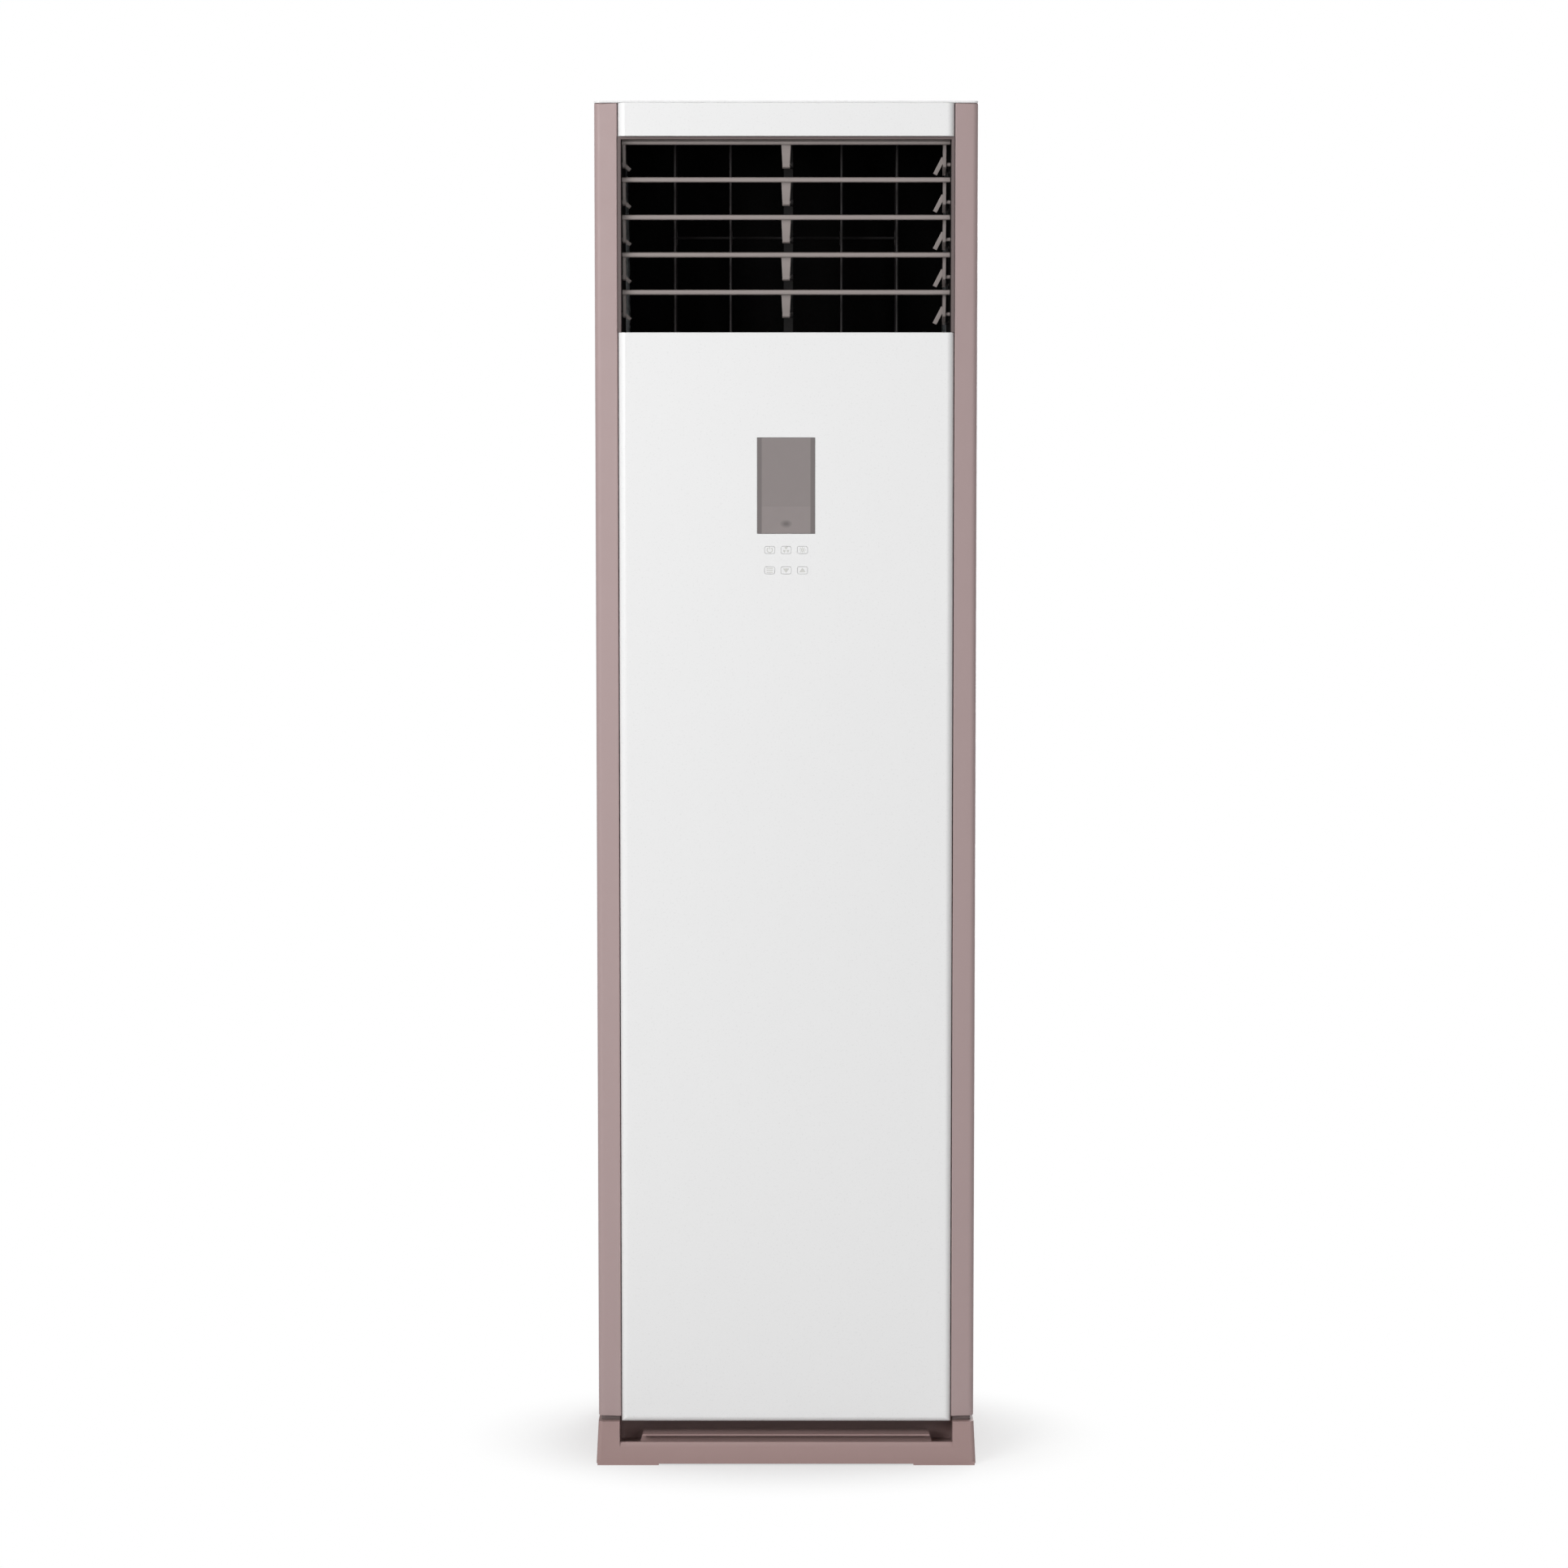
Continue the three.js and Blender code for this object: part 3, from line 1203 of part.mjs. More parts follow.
// Forward curved wheel: blades between a back disc with its hub and a front ring.
const hubLength = 34;
const hubRadius = 17;
const discWall = 2.5;
function makeImpeller() {
  const innerRadius = IMPELLER_RADIUS - BLADE_CHORD;
  const thickness = 1.7;
  const lean = radians(-13); // tips lead in the direction of turning
  const steps = 2;
  const pressure = [];
  const suction = [];
  for (let i = 0; i <= steps; i += 1) {
    const share = i / steps;
    const radius = innerRadius + BLADE_CHORD * share;
    const angle = lean * share ** 1.8;
    const half = thickness / 2 / radius;
    pressure.push([radius * Math.cos(angle - half), radius * Math.sin(angle - half)]);
    suction.push([radius * Math.cos(angle + half), radius * Math.sin(angle + half)]);
  }
  const outline = outlineOf([...pressure, ...suction.reverse()]);
  const width = [impellerFront, impellerBack - discWall / 2];
  let wheel = turned(
    [
      [SHAFT_RADIUS + CLEAR, impellerBack - hubLength],
      [hubRadius, impellerBack - hubLength],
      [hubRadius, impellerBack - discWall - 6],
      [hubRadius + 14, impellerBack - discWall],
      [IMPELLER_RADIUS, impellerBack - discWall],
      [IMPELLER_RADIUS, impellerBack],
      [SHAFT_RADIUS + CLEAR, impellerBack],
    ],
    [0, 0],
    BLADE_COUNT,
  );
  const ring = turned(
    [
      [IMPELLER_RADIUS - 3, impellerFront],
      [IMPELLER_RADIUS + 2, impellerFront],
      [IMPELLER_RADIUS + 2, impellerFront + 7],
      [IMPELLER_RADIUS - 3, impellerFront + 7],
    ],
    [0, 0],
    BLADE_COUNT,
  );
  wheel = wheel.add(ring);
  for (let i = 0; i < BLADE_COUNT; i += 1) {
    const blade = new THREE.ExtrudeGeometry(outline, {
      depth: width[1] - width[0],
      bevelEnabled: false,
    });
    blade.rotateX(Math.PI / 2).translate(0, width[1], 0);
    blade.rotateY((Math.PI * 2 * i) / BLADE_COUNT);
    wheel = wheel.add(toSolid(blade));
  }
  return wheel;
}
add("fan_impeller", makeImpeller(), grey, groupAt(fanX, 0, FAN_Z));

// Motor shaft with the nut that holds the wheel.
function makeShaft() {
  const hubFront = impellerBack - hubLength;
  const nutBack = hubFront - CLEAR;
  const nut = bar("y", 11, [nutBack - 7, nutBack], [0, 0], 6);
  const shaft = bar("y", SHAFT_RADIUS, [nutBack - 12, motorFront + 38], [0, 0], 16);
  return join(shaft, nut);
}
add("motor_shaft", makeShaft(), aluminium, groupAt(fanX, 0, FAN_Z));

function makeMotor() {
  const back = motorFront + MOTOR_LENGTH;
  const bore = SHAFT_RADIUS + RUN;
  const round = 6;
  const can = turned(
    [
      [bore, motorFront],
      [MOTOR_RADIUS - round, motorFront],
      [MOTOR_RADIUS, motorFront + round],
      [MOTOR_RADIUS, back - round],
      [MOTOR_RADIUS - round, back],
      [bore, back],
    ],
    [fanX, FAN_Z],
    20,
  );
  // Crimped seam between the two halves of the can.
  const seam = (motorFront + back) / 2;
  const seamOut = MOTOR_RADIUS + 3;
  const seamIn = MOTOR_RADIUS - 1;
  const bead = turned(
    [[seamIn, seam - 2], [seamOut, seam - 2], [seamOut, seam + 2], [seamIn, seam + 2]],
    [fanX, FAN_Z],
    20,
  );
  return can.add(bead);
}
add("fan_motor", makeMotor(), zinc);

// Plate between scroll and motor, with four legs back to the rear panel.
function makeBracket() {
  const front = scrollBack + CLEAR;
  const legPlace = MOTOR_RADIUS + 15;
  const legHalf = 6;
  const plate = cut(
    bar("y", legPlace + legHalf, [front, bracketBack], [fanX, FAN_Z], 24),
    bar("y", MOTOR_RADIUS - 25, [front - 1, bracketBack + 1], [fanX, FAN_Z], 20),
  );
  const pieces = [];
  for (const sx of [-1, 1]) {
    for (const sz of [-1, 1]) {
      const x = fanX + sx * legPlace;
      const z = FAN_Z + sz * legPlace;
      const spanX = [x - legHalf, x + legHalf];
      pieces.push(
        block(spanX, [front, REAR - SHEET - CLEAR], [z - legHalf, z + legHalf]),
        block(
          [Math.min(x, fanX + sx * 40), Math.max(x, fanX + sx * 40)],
          [front, bracketBack],
          [Math.min(z, FAN_Z + sz * 40), Math.max(z, FAN_Z + sz * 40)],
        ),
      );
    }
  }
  return join(plate, ...pieces);
}
add("motor_bracket", makeBracket(), zinc);

// ---------------------------------------------------------------- deck and coil
const deckTop = DECK_Z + SHEET;
const deckFront = columnFront + COLUMN_RETURN + 1;
const gasDrop = [panHalf - 15, REAR - 67];
const liquidDrop = [panHalf - 17, REAR - 43];
const hoseDrop = [outletHalf - HOSE_INSET, FRONT + 71];
function makeDeck() {
  const turnUp = 12;
  const outer = block([-panHalf, panHalf], [deckFront, panBack], [DECK_Z, deckTop + turnUp]);
  const inner = block(
    [SHEET - panHalf, panHalf - SHEET],
    [deckFront - 1, panBack - SHEET],
    [deckTop, deckTop + turnUp + 1],
  );
  const wall = SCROLL_WALL;
  const airHole = block(
    [scrollLeft + wall, scrollRight - wall],
    [scrollFront + wall, scrollBack - wall],
    [DECK_Z - 1, deckTop + 1],
  );
  const through = [DECK_Z - 1, deckTop + 1];
  return cut(
    outer,
    inner,
    airHole,
    bar("z", GAS_RADIUS + 4, through, gasDrop, 16),
    bar("z", LIQUID_RADIUS + 4, through, liquidDrop, 16),
    bar("z", HOSE_RADIUS + 2, through, hoseDrop, 16),
  );
}
add("deck_plate", makeDeck(), zinc);

const spoutLength = 6;
const panFloor = deckTop + 17;
const panBackEdge = deckFront + PAN_DEPTH;
const coilHalf = outletHalf - 11;
const plateX = [coilHalf + CLEAR, coilHalf + CLEAR + SHEET];
function makeDrainPan() {
  const half = outletHalf + 4;
  const wall = 3;
  const top = panFloor + PAN_HEIGHT;
  const tray = cut(
    block([-half, half], [deckFront, panBackEdge], [panFloor, top]),
    block(
      [wall - half, half - wall],
      [deckFront + wall, panBackEdge - wall],
      [panFloor + wall, top + SPILL],
    ),
  );
  const feet = [-0.7 * half, 0, 0.7 * half].map((x) =>
    block([x - 15, x + 15], [deckFront + 5, panBackEdge - 8], [deckTop + CLEAR, panFloor + 1]),
  );
  const spout = bar("z", HOSE_RADIUS - 1, [panFloor - spoutLength, panFloor + 1], hoseDrop, 12);
  const bore = [panFloor - spoutLength - SPILL, panFloor + wall + SPILL];
  const drain = bar("z", HOSE_RADIUS - 4, bore, hoseDrop, 12);
  return cut(join(tray, ...feet, spout), drain);
}
add("drain_pan", makeDrainPan(), foam);

const coil = groupAt(0, FRONT + COIL_FOOT_BACK, COIL_FOOT_Z);
coil.rotation.x = -Math.asin((DEPTH - COIL_FOOT_BACK - COIL_HEAD_GAP) / COIL_LENGTH);

// Fins: a comb in plan on both faces, run up the whole length of the coil.
function makeFins() {
  const pitch = (coilHalf * 2) / FIN_COUNT;
  const half = COIL_THICKNESS / 2;
  const slot = 3;
  const points = [];
  const face = (y, out, order) => {
    for (const i of order) {
      const x = -coilHalf + i * pitch;
      const edge = x + pitch * 0.6;
      const corners = [[x, y], [edge, y], [edge, y - out], [x + pitch, y - out]];
      points.push(...(out > 0 ? corners.reverse() : corners));
    }
  };
  const upward = Array.from({ length: FIN_COUNT }, (_, i) => i);
  face(-half, -slot, upward);
  face(half, slot, [...upward].reverse());
  return prismXY(outlineOf(points), [0, COIL_LENGTH]);
}
add("evaporator_fins", makeFins(), aluminium, coil);

// End plate with its flange to the cabinet's side and the soldered return bends.
function makeEndPlate() {
  const half = COIL_THICKNESS / 2 + 2;
  const plate = block(plateX, [-half, half], [-2, COIL_LENGTH + 4]);
  const flangeEnds = [BEND_FOOT - 10, COIL_LENGTH - 40];
  const flange = block([plateX[0], panHalf], [half - SHEET, half], flangeEnds);
  const bends = [];
  const reach = 12;
  const rise = 26;
  const pitch = (COIL_LENGTH - BEND_FOOT - BEND_HEAD) / (BEND_COUNT - 1);
  for (let i = 0; i < BEND_COUNT; i += 1) {
    const low = BEND_FOOT + i * pitch - rise / 2;
    const y = i % 2 ? 7 : -7;
    const x = plateX[1];
    const route = [
      [x - 0.3, y, low],
      [x + reach * 0.6, y, low + 1],
      [x + reach, y, low + rise / 2],
      [x + reach * 0.6, y, low + rise - 1],
      [x - 0.3, y, low + rise],
    ];
    bends.push(routed(route, 4.5, 6, 5));
  }
  return join(plate, flange, ...bends);
}
const endPlate = makeEndPlate();
for (const [name, side] of sides) add(`coil_end_plate_${name}`, mirrored(endPlate, side), zinc, coil);

// Refrigerant pipes from the coil to the pipe port, each ending in a flare nut.
const portY = REAR - SHEET - 6;
function flareNut(radius, place) {
  return bar("y", radius + 4.5, [portY - 18, portY - 4], place, 6);
}
const gasEnd = [portX - 16, PORT_Z + 10];
const liquidEnd = [portX + 14, PORT_Z + 10];
const hoseEnd = [portX, PORT_Z - 18];
const coilFootY = FRONT + COIL_FOOT_BACK;
const [gasX, gasY] = gasDrop;
const [liquidX, liquidY] = liquidDrop;
const gasRoute = [
  [plateX[1] + 0.5, coilFootY + 13, COIL_FOOT_Z + 42],
  [plateX[1] + 18, coilFootY + 13, COIL_FOOT_Z + 42],
  [gasX, coilFootY + 27, COIL_FOOT_Z + 35],
  [gasX, gasY - 58, COIL_FOOT_Z + 4],
  [gasX, gasY - 9, DECK_Z + 34],
  [gasX, gasY, DECK_Z + 8],
  [gasX, gasY, DECK_Z - 50],
  [gasX, gasY, PORT_Z + 110],
  [gasX - 11, gasY, PORT_Z + 38],
  [portX + 25, gasY + 2, gasEnd[1]],
  [gasEnd[0] + 10, gasY + 14, gasEnd[1]],
  [gasEnd[0], portY - 20, gasEnd[1]],
  [gasEnd[0], portY, gasEnd[1]],
];
const liquidRoute = [
  [plateX[1] + 0.5, coilFootY + 23, COIL_FOOT_Z + 72],
  [plateX[1] + 14, coilFootY + 23, COIL_FOOT_Z + 72],
  [liquidX, coilFootY + 36, COIL_FOOT_Z + 66],
  [liquidX, liquidY - 62, COIL_FOOT_Z + 34],
  [liquidX, liquidY - 8, DECK_Z + 44],
  [liquidX, liquidY, DECK_Z + 8],
  [liquidX, liquidY, DECK_Z - 50],
  [liquidX, liquidY, PORT_Z + 100],
  [liquidX - 7, liquidY + 4, PORT_Z + 40],
  [portX + 40, liquidY + 8, liquidEnd[1] + 2],
  [liquidEnd[0] + 3, portY - 20, liquidEnd[1]],
  [liquidEnd[0], portY - 14, liquidEnd[1]],
  [liquidEnd[0], portY, liquidEnd[1]],
];
// The hose drops in the front right corner and falls to the port below the scroll's side.
const [hoseX, hoseY] = hoseDrop;
const hoseRun = portY - hoseY;
const hoseFall = DECK_Z - hoseEnd[1];
const hoseRoute = [
  [hoseX, hoseY, panFloor - spoutLength - CLEAR],
  [hoseX, hoseY, DECK_Z - hoseFall * 0.3],
  [hoseX, hoseY, DECK_Z - hoseFall * 0.78],
  [hoseX, hoseY + hoseRun * 0.12, DECK_Z - hoseFall * 0.91],
  [hoseX - 4, hoseY + hoseRun * 0.4, DECK_Z - hoseFall * 0.97],
  [hoseX - 14, hoseY + hoseRun * 0.7, hoseEnd[1]],
  [portX + 6, hoseY + hoseRun * 0.88, hoseEnd[1]],
  [portX, portY, hoseEnd[1]],
];
const gasPipe = join(routed(gasRoute, GAS_RADIUS, 6, 26), flareNut(GAS_RADIUS, gasEnd));
const liquidPipe = join(
  routed(liquidRoute, LIQUID_RADIUS, 6, 26),
  flareNut(LIQUID_RADIUS, liquidEnd),
);
add("gas_pipe", gasPipe, copper);
add("liquid_pipe", liquidPipe, copper);
add("drain_hose", routed(hoseRoute, HOSE_RADIUS, 6, 18), grey);

// Insulation behind the front panel, in front of the coil.
const coverBack = flangeBack + CLEAR;
function makeFrontInsulation() {
  const span = [panFloor + PAN_HEIGHT + CLEAR, ductFloor - bezelFoot - CLEAR];
  const thickness = 18;
  const slab = block([-outletHalf, outletHalf], [coverBack, coverBack + thickness], span);
  const reliefs = [-1, 1].map((side) => {
    const x = (side * outletHalf) / 2;
    const half = outletHalf * 0.38;
    const pocket = roundedOutline([x - half, x + half], [span[0] + 30, span[1] - 30], 12);
    return prismXZ(pocket, [coverBack + thickness - 6, coverBack + thickness + SPILL]);
  });
  return cut(slab, ...reliefs);
}
add("front_insulation", makeFrontInsulation(), foam);

// Foam scoop that turns the rising air forward into the duct.
function makeAirGuide() {
  const front = ductBack + CLEAR;
  const back = REAR - SHEET - RIB_PRESS - 2 * CLEAR;
  const low = ductFloor - 70;
  const high = HEIGHT - LID_THICKNESS - LID_SKIRT - CLEAR;
  const roof = ductRoof + DUCT_WALL + CLEAR;
  const outline = new THREE.Shape();
  outline.moveTo(front, roof);
  outline.lineTo(front, high);
  outline.lineTo(back, high);
  outline.lineTo(back, low);
  outline.lineTo(back - 18, low);
  outline.quadraticCurveTo(back - 22, roof - 22, front, roof);
  return prismYZ(outline, [-outletHalf, outletHalf], 6);
}
add("air_guide", makeAirGuide(), darkFoam);

// ---------------------------------------------------------------- electrics
const boxX = [-BOX_WIDTH / 2, BOX_WIDTH / 2];
const boxFront = deckFront + 2;
const boxZ = [DECK_Z - BOX_DROP - BOX_HEIGHT, DECK_Z - BOX_DROP];
function makeElectricBox() {
  const back = boxFront + BOX_DEPTH;
  const tray = cut(
    block(boxX, [boxFront, back], boxZ),
    block(
      [boxX[0] + SHEET, boxX[1] - SHEET],
      [boxFront - 1, back - SHEET],
      [boxZ[0] + SHEET, boxZ[1] - SHEET],
    ),
  );
  const hangers = [boxX[0] * 0.75, boxX[1] * 0.75].map((x) =>
    block([x - 10, x + 10], [back - SHEET, back], [boxZ[1] - 10, DECK_Z - CLEAR]),
  );
  return join(tray, ...hangers);
}
add("electric_box", makeElectricBox(), zinc);

function makeElectricCover() {
  const lap = 8;
  const outer = block(
    [boxX[0] - CLEAR - SHEET, boxX[1] + CLEAR + SHEET],
    [boxFront - CLEAR - SHEET, boxFront + lap],
    [boxZ[0] - CLEAR - SHEET, boxZ[1] + CLEAR + SHEET],
  );
  const inner = block(
    [boxX[0] - CLEAR, boxX[1] + CLEAR],
    [boxFront - CLEAR, boxFront + lap + SPILL],
    [boxZ[0] - CLEAR, boxZ[1] + CLEAR],
  );
  return cut(outer, inner);
}
add("electric_box_cover", makeElectricCover(), zinc);

const boxFloorY = boxFront + BOX_DEPTH - SHEET;
function makeControlBoard() {
  const plateY = [boxFloorY - 9, boxFloorY - 7.4];
  const spanX = [boxX[0] + 10, boxX[1] - 10];
  const spanZ = [boxZ[0] + 12, boxZ[1] - 12];
  const plate = block(spanX, plateY, spanZ);
  const posts = [];
  for (const x of [spanX[0] + 6, spanX[1] - 6]) {
    for (const z of [spanZ[0] + 6, spanZ[1] - 6]) {
      posts.push(bar("y", 3, [plateY[1] - 1, boxFloorY - CLEAR], [x, z]));
    }
  }
  const front = plateY[0] + 0.5;
  const transformer = block(
    [spanX[0] + 14, spanX[0] + 50],
    [front - 30, front],
    [spanZ[0] + 14, spanZ[0] + 46],
  );
  const capacitor = bar("y", 11, [front - 32, front], [spanX[0] + 80, spanZ[0] + 30], 10);
  const relays = [0, 1, 2].map((i) =>
    block(
      [spanX[0] + 20 + i * 28, spanX[0] + 40 + i * 28],
      [front - 16, front],
      [spanZ[1] - 38, spanZ[1] - 22],
    ),
  );
  // Row of wiring terminals along the board's free edge.
  const rowX = [spanX[1] - 52, spanX[1] - 2];
  const rowZ = [spanZ[0] + 2, spanZ[0] + 24];
  const rowFront = front - 18;
  let terminals = block(rowX, [rowFront, front], rowZ);
  const poles = 5;
  const pitch = (rowX[1] - rowX[0]) / poles;
  for (let i = 0; i < poles; i += 1) {
    const x = rowX[0] + pitch * (i + 0.5);
    terminals = cut(
      terminals,
      block([x - 3.5, x + 3.5], [rowFront - SPILL, rowFront + 9], [rowZ[0] - SPILL, rowZ[0] + 8]),
      bar("y", 2.5, [rowFront - SPILL, rowFront + 11], [x, rowZ[1] - 7], 6),
    );
  }
  return join(plate, ...posts, transformer, capacitor, ...relays, terminals);
}
add("control_board", makeControlBoard(), boardGreen);

export default unit;
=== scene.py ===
"""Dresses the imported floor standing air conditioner: finishes, small details, studio and camera.
Metres, +Z up, the front towards -Y. A length in millimetres is multiplied by MM."""
import math

import bmesh
import bpy
from mathutils import Matrix, Vector


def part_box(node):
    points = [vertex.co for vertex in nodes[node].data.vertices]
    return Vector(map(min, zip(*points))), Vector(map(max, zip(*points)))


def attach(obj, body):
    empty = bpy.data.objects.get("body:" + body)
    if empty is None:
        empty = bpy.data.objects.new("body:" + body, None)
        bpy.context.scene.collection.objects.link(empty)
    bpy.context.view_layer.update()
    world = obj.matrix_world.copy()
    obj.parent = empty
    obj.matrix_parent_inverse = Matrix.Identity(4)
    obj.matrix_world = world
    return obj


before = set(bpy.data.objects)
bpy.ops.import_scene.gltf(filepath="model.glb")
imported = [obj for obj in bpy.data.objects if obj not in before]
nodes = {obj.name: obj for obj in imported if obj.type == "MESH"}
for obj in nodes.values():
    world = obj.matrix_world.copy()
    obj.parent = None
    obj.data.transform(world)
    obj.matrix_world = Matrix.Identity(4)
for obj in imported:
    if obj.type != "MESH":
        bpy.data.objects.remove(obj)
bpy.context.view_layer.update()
MM = 0.001
LOUVERS = range(1, 6)
VANES = range(1, 6)
KEYS = range(1, 7)


# ------------------------------------------------------------------ node helpers
def linear(red, green, blue):
    """A display colour from 0 to 255 as the linear colour that a shader takes."""
    def one(value):
        value /= 255
        return value / 12.92 if value <= 0.04045 else ((value + 0.055) / 1.055) ** 2.4
    return (one(red), one(green), one(blue), 1.0)


def scaled(colour, factor):
    """The same colour, darker or brighter."""
    return tuple(min(1.0, c * factor) for c in colour[:3]) + (1.0,)


class Finish:
    """One material for one slot, with short ways to add texture nodes to it.
    Textures lie in object coordinates, which are metres of the frame."""

    def __init__(self, name, slot, roughness, metallic=0.0, **sockets):
        self.material = bpy.data.materials.new(name)
        self.material.use_nodes = True
        self.tree = self.material.node_tree
        self.shader = self.tree.nodes["Principled BSDF"]
        self.shader.inputs["Roughness"].default_value = roughness
        self.shader.inputs["Metallic"].default_value = metallic
        for key, value in sockets.items():
            self.shader.inputs[key.replace("_", " ")].default_value = value
        self.slot = slot
        self.place = self.add("ShaderNodeTexCoord").outputs["Object"]

    def add(self, kind, **values):
        node = self.tree.nodes.new(kind)
        for key, value in values.items():
            setattr(node, key, value)
        return node

    def link(self, source, target):
        self.tree.links.new(source, target)

    def axis(self, letter):
        """One coordinate of the point that is shaded."""
        split = self.add("ShaderNodeSeparateXYZ")
        self.link(self.place, split.inputs[0])
        return split.outputs[letter]

    def stretch(self, x, y, z):
        """Coordinates that draw a texture out along the axes with small factors."""
        node = self.add("ShaderNodeMapping")
        node.inputs["Scale"].default_value = (x, y, z)
        self.link(self.place, node.inputs["Vector"])
        return node.outputs["Vector"]

    def noise(self, scale, detail=2.0, rough=0.5, vector=None):
        node = self.add("ShaderNodeTexNoise")
        node.inputs["Scale"].default_value = scale
        node.inputs["Detail"].default_value = detail
        node.inputs["Roughness"].default_value = rough
        self.link(vector or self.place, node.inputs["Vector"])
        return node.outputs["Fac"]

    def cells(self, scale, feature="F1", output="Distance", vector=None):
        node = self.add("ShaderNodeTexVoronoi", feature=feature)
        node.inputs["Scale"].default_value = scale
        self.link(vector or self.place, node.inputs["Vector"])
        return node.outputs[output]

    def waves(self, scale, axis):
        """Bands across an axis, 314 mm apart divided by the scale."""
        node = self.add("ShaderNodeTexWave", bands_direction=axis)
        node.inputs["Scale"].default_value = scale
        self.link(self.place, node.inputs["Vector"])
        return node.outputs["Fac"]

    def spread(self, fac, low, high, out_low=0.0, out_high=1.0):
        """Brings the range from low to high to another range, and clamps it there."""
        node = self.add("ShaderNodeMapRange")
        for key, value in (("From Min", low), ("From Max", high),
                           ("To Min", out_low), ("To Max", out_high)):
            node.inputs[key].default_value = value
        self.link(fac, node.inputs["Value"])
        return node.outputs["Result"]

    def uneven(self, noise, out_low, out_high):
        """Brings the range that a noise mostly has to another range."""
        return self.spread(noise, 0.3, 0.7, out_low, out_high)

    def maths(self, operation, first, second):
        node = self.add("ShaderNodeMath", operation=operation)
        for socket, value in zip(node.inputs, (first, second)):
            if isinstance(value, (int, float)):
                socket.default_value = value
            else:
                self.link(value, socket)
        return node.outputs[0]

    def blend(self, fac, first, second):
        node = self.add("ShaderNodeMix", data_type="RGBA", blend_type="MIX")
        self.link(fac, node.inputs["Factor"])
        for socket, value in ((node.inputs["A"], first), (node.inputs["B"], second)):
            if isinstance(value, tuple):
                socket.default_value = value
            else:
                self.link(value, socket)
        return node.outputs["Result"]

    def colour(self, output):
        self.link(output, self.shader.inputs["Base Color"])

    def rough(self, output):
        self.link(output, self.shader.inputs["Roughness"])

    def bump(self, height, strength, depth):
        """Raises the surface by a height from 0 to 1; depth is in millimetres."""
        node = self.add("ShaderNodeBump")
        node.inputs["Strength"].default_value = strength
        node.inputs["Distance"].default_value = depth * MM
        self.link(height, node.inputs["Height"])
        self.link(node.outputs["Normal"], self.shader.inputs["Normal"])


# ------------------------------------------------------------------ kinds of surface
def moulded(name, slot, tint, roughness, grain, depth, mottle=0.02, fleck=0.97, **sockets):
    """Injection moulded surface: fine grain, faint clouding and uneven gloss."""
    f = Finish(name, slot, roughness, **sockets)
    cloud = f.noise(scale=3.5, detail=3.0, rough=0.55)
    fine = f.noise(scale=grain, rough=0.6)
    clouded = f.blend(cloud, scaled(tint, 1 - 2 * mottle), scaled(tint, 1 + 2 * mottle))
    f.colour(f.blend(f.spread(fine, 0.35, 0.65), scaled(tint, fleck), clouded))
    gloss = f.noise(scale=26.0, detail=3.0, rough=0.6)
    f.rough(f.uneven(gloss, roughness * 0.9, roughness * 1.1))
    f.bump(fine, strength=0.35, depth=depth)
    return f


def glossy_panel(name, slot, tint):
    """Glossy white cover: pigment specks under a clear surface with a slight orange peel."""
    f = Finish(name, slot, roughness=0.28, Specular_IOR_Level=0.45)
    specks = f.noise(scale=1500.0, detail=1.0)
    f.colour(f.blend(specks, scaled(tint, 0.992), scaled(tint, 1.002)))
    f.rough(f.spread(f.noise(scale=400.0, detail=1.0), 0.0, 1.0, 0.26, 0.3))
    f.bump(f.noise(scale=160.0, detail=1.0, rough=0.4), strength=0.06, depth=0.015)
    return f


def powder_coat(name, slot, tint):
    """Painted sheet: a pebbled coat."""
    f = Finish(name, slot, roughness=0.5)
    pebble = f.noise(scale=620.0, rough=0.55)
    f.colour(f.blend(f.noise(scale=3.0), scaled(tint, 0.98), tint))
    f.rough(f.uneven(pebble, 0.44, 0.58))
    f.bump(pebble, strength=0.4, depth=0.08)
    return f


def galvanised(name, slot, tint):
    """Zinc coated sheet: crystals of different brightness, with fine rolling lines."""
    crystal_scale = 120.0
    f = Finish(name, slot, roughness=0.42, metallic=0.9)
    crystal = f.cells(crystal_scale, output="Color")
    lines = f.noise(scale=40.0, rough=0.6, vector=f.stretch(1.0, 1.0, 14.0))
    tone = f.blend(f.spread(crystal, 0.0, 1.0), scaled(tint, 0.93), scaled(tint, 1.05))
    f.colour(f.blend(f.spread(lines, 0.35, 0.65, 0.0, 0.35), tone, scaled(tint, 0.86)))
    f.rough(f.spread(crystal, 0.0, 1.0, 0.38, 0.5))
    f.bump(f.cells(crystal_scale, feature="DISTANCE_TO_EDGE"), strength=0.08, depth=0.02)
    return f


def turned_steel(name, slot, tint):
    """Turned shaft: fine rings along its axis, which lies along Y."""
    f = Finish(name, slot, roughness=0.28, metallic=1.0)
    rings = f.waves(scale=520.0, axis="Y")
    f.colour(f.blend(rings, scaled(tint, 0.86), tint))
    f.rough(f.uneven(f.noise(scale=60.0), 0.22, 0.36))
    f.bump(rings, strength=0.2, depth=0.02)
    return f


def fin_pack(name, slot, tint):
    """Aluminium fin sheets 1.6 mm apart, drawn as bright lines across the width; the dark lines
    between them are painted shade in the gaps.
    """
    f = Finish(name, slot, roughness=0.38, metallic=0.8)
    fins_and_gap_shade = f.spread(f.waves(scale=196.0, axis="X"), 0.25, 0.6)
    dents = f.spread(f.noise(scale=14.0, detail=3.0, rough=0.6), 0.45, 0.75)
    bright = f.blend(dents, tint, scaled(tint, 0.82))
    # the dark colour is painted shade in the gaps between the fin sheets
    f.colour(f.blend(fins_and_gap_shade, scaled(tint, 0.12), bright))
    f.bump(fins_and_gap_shade, strength=0.7, depth=0.4)
    return f


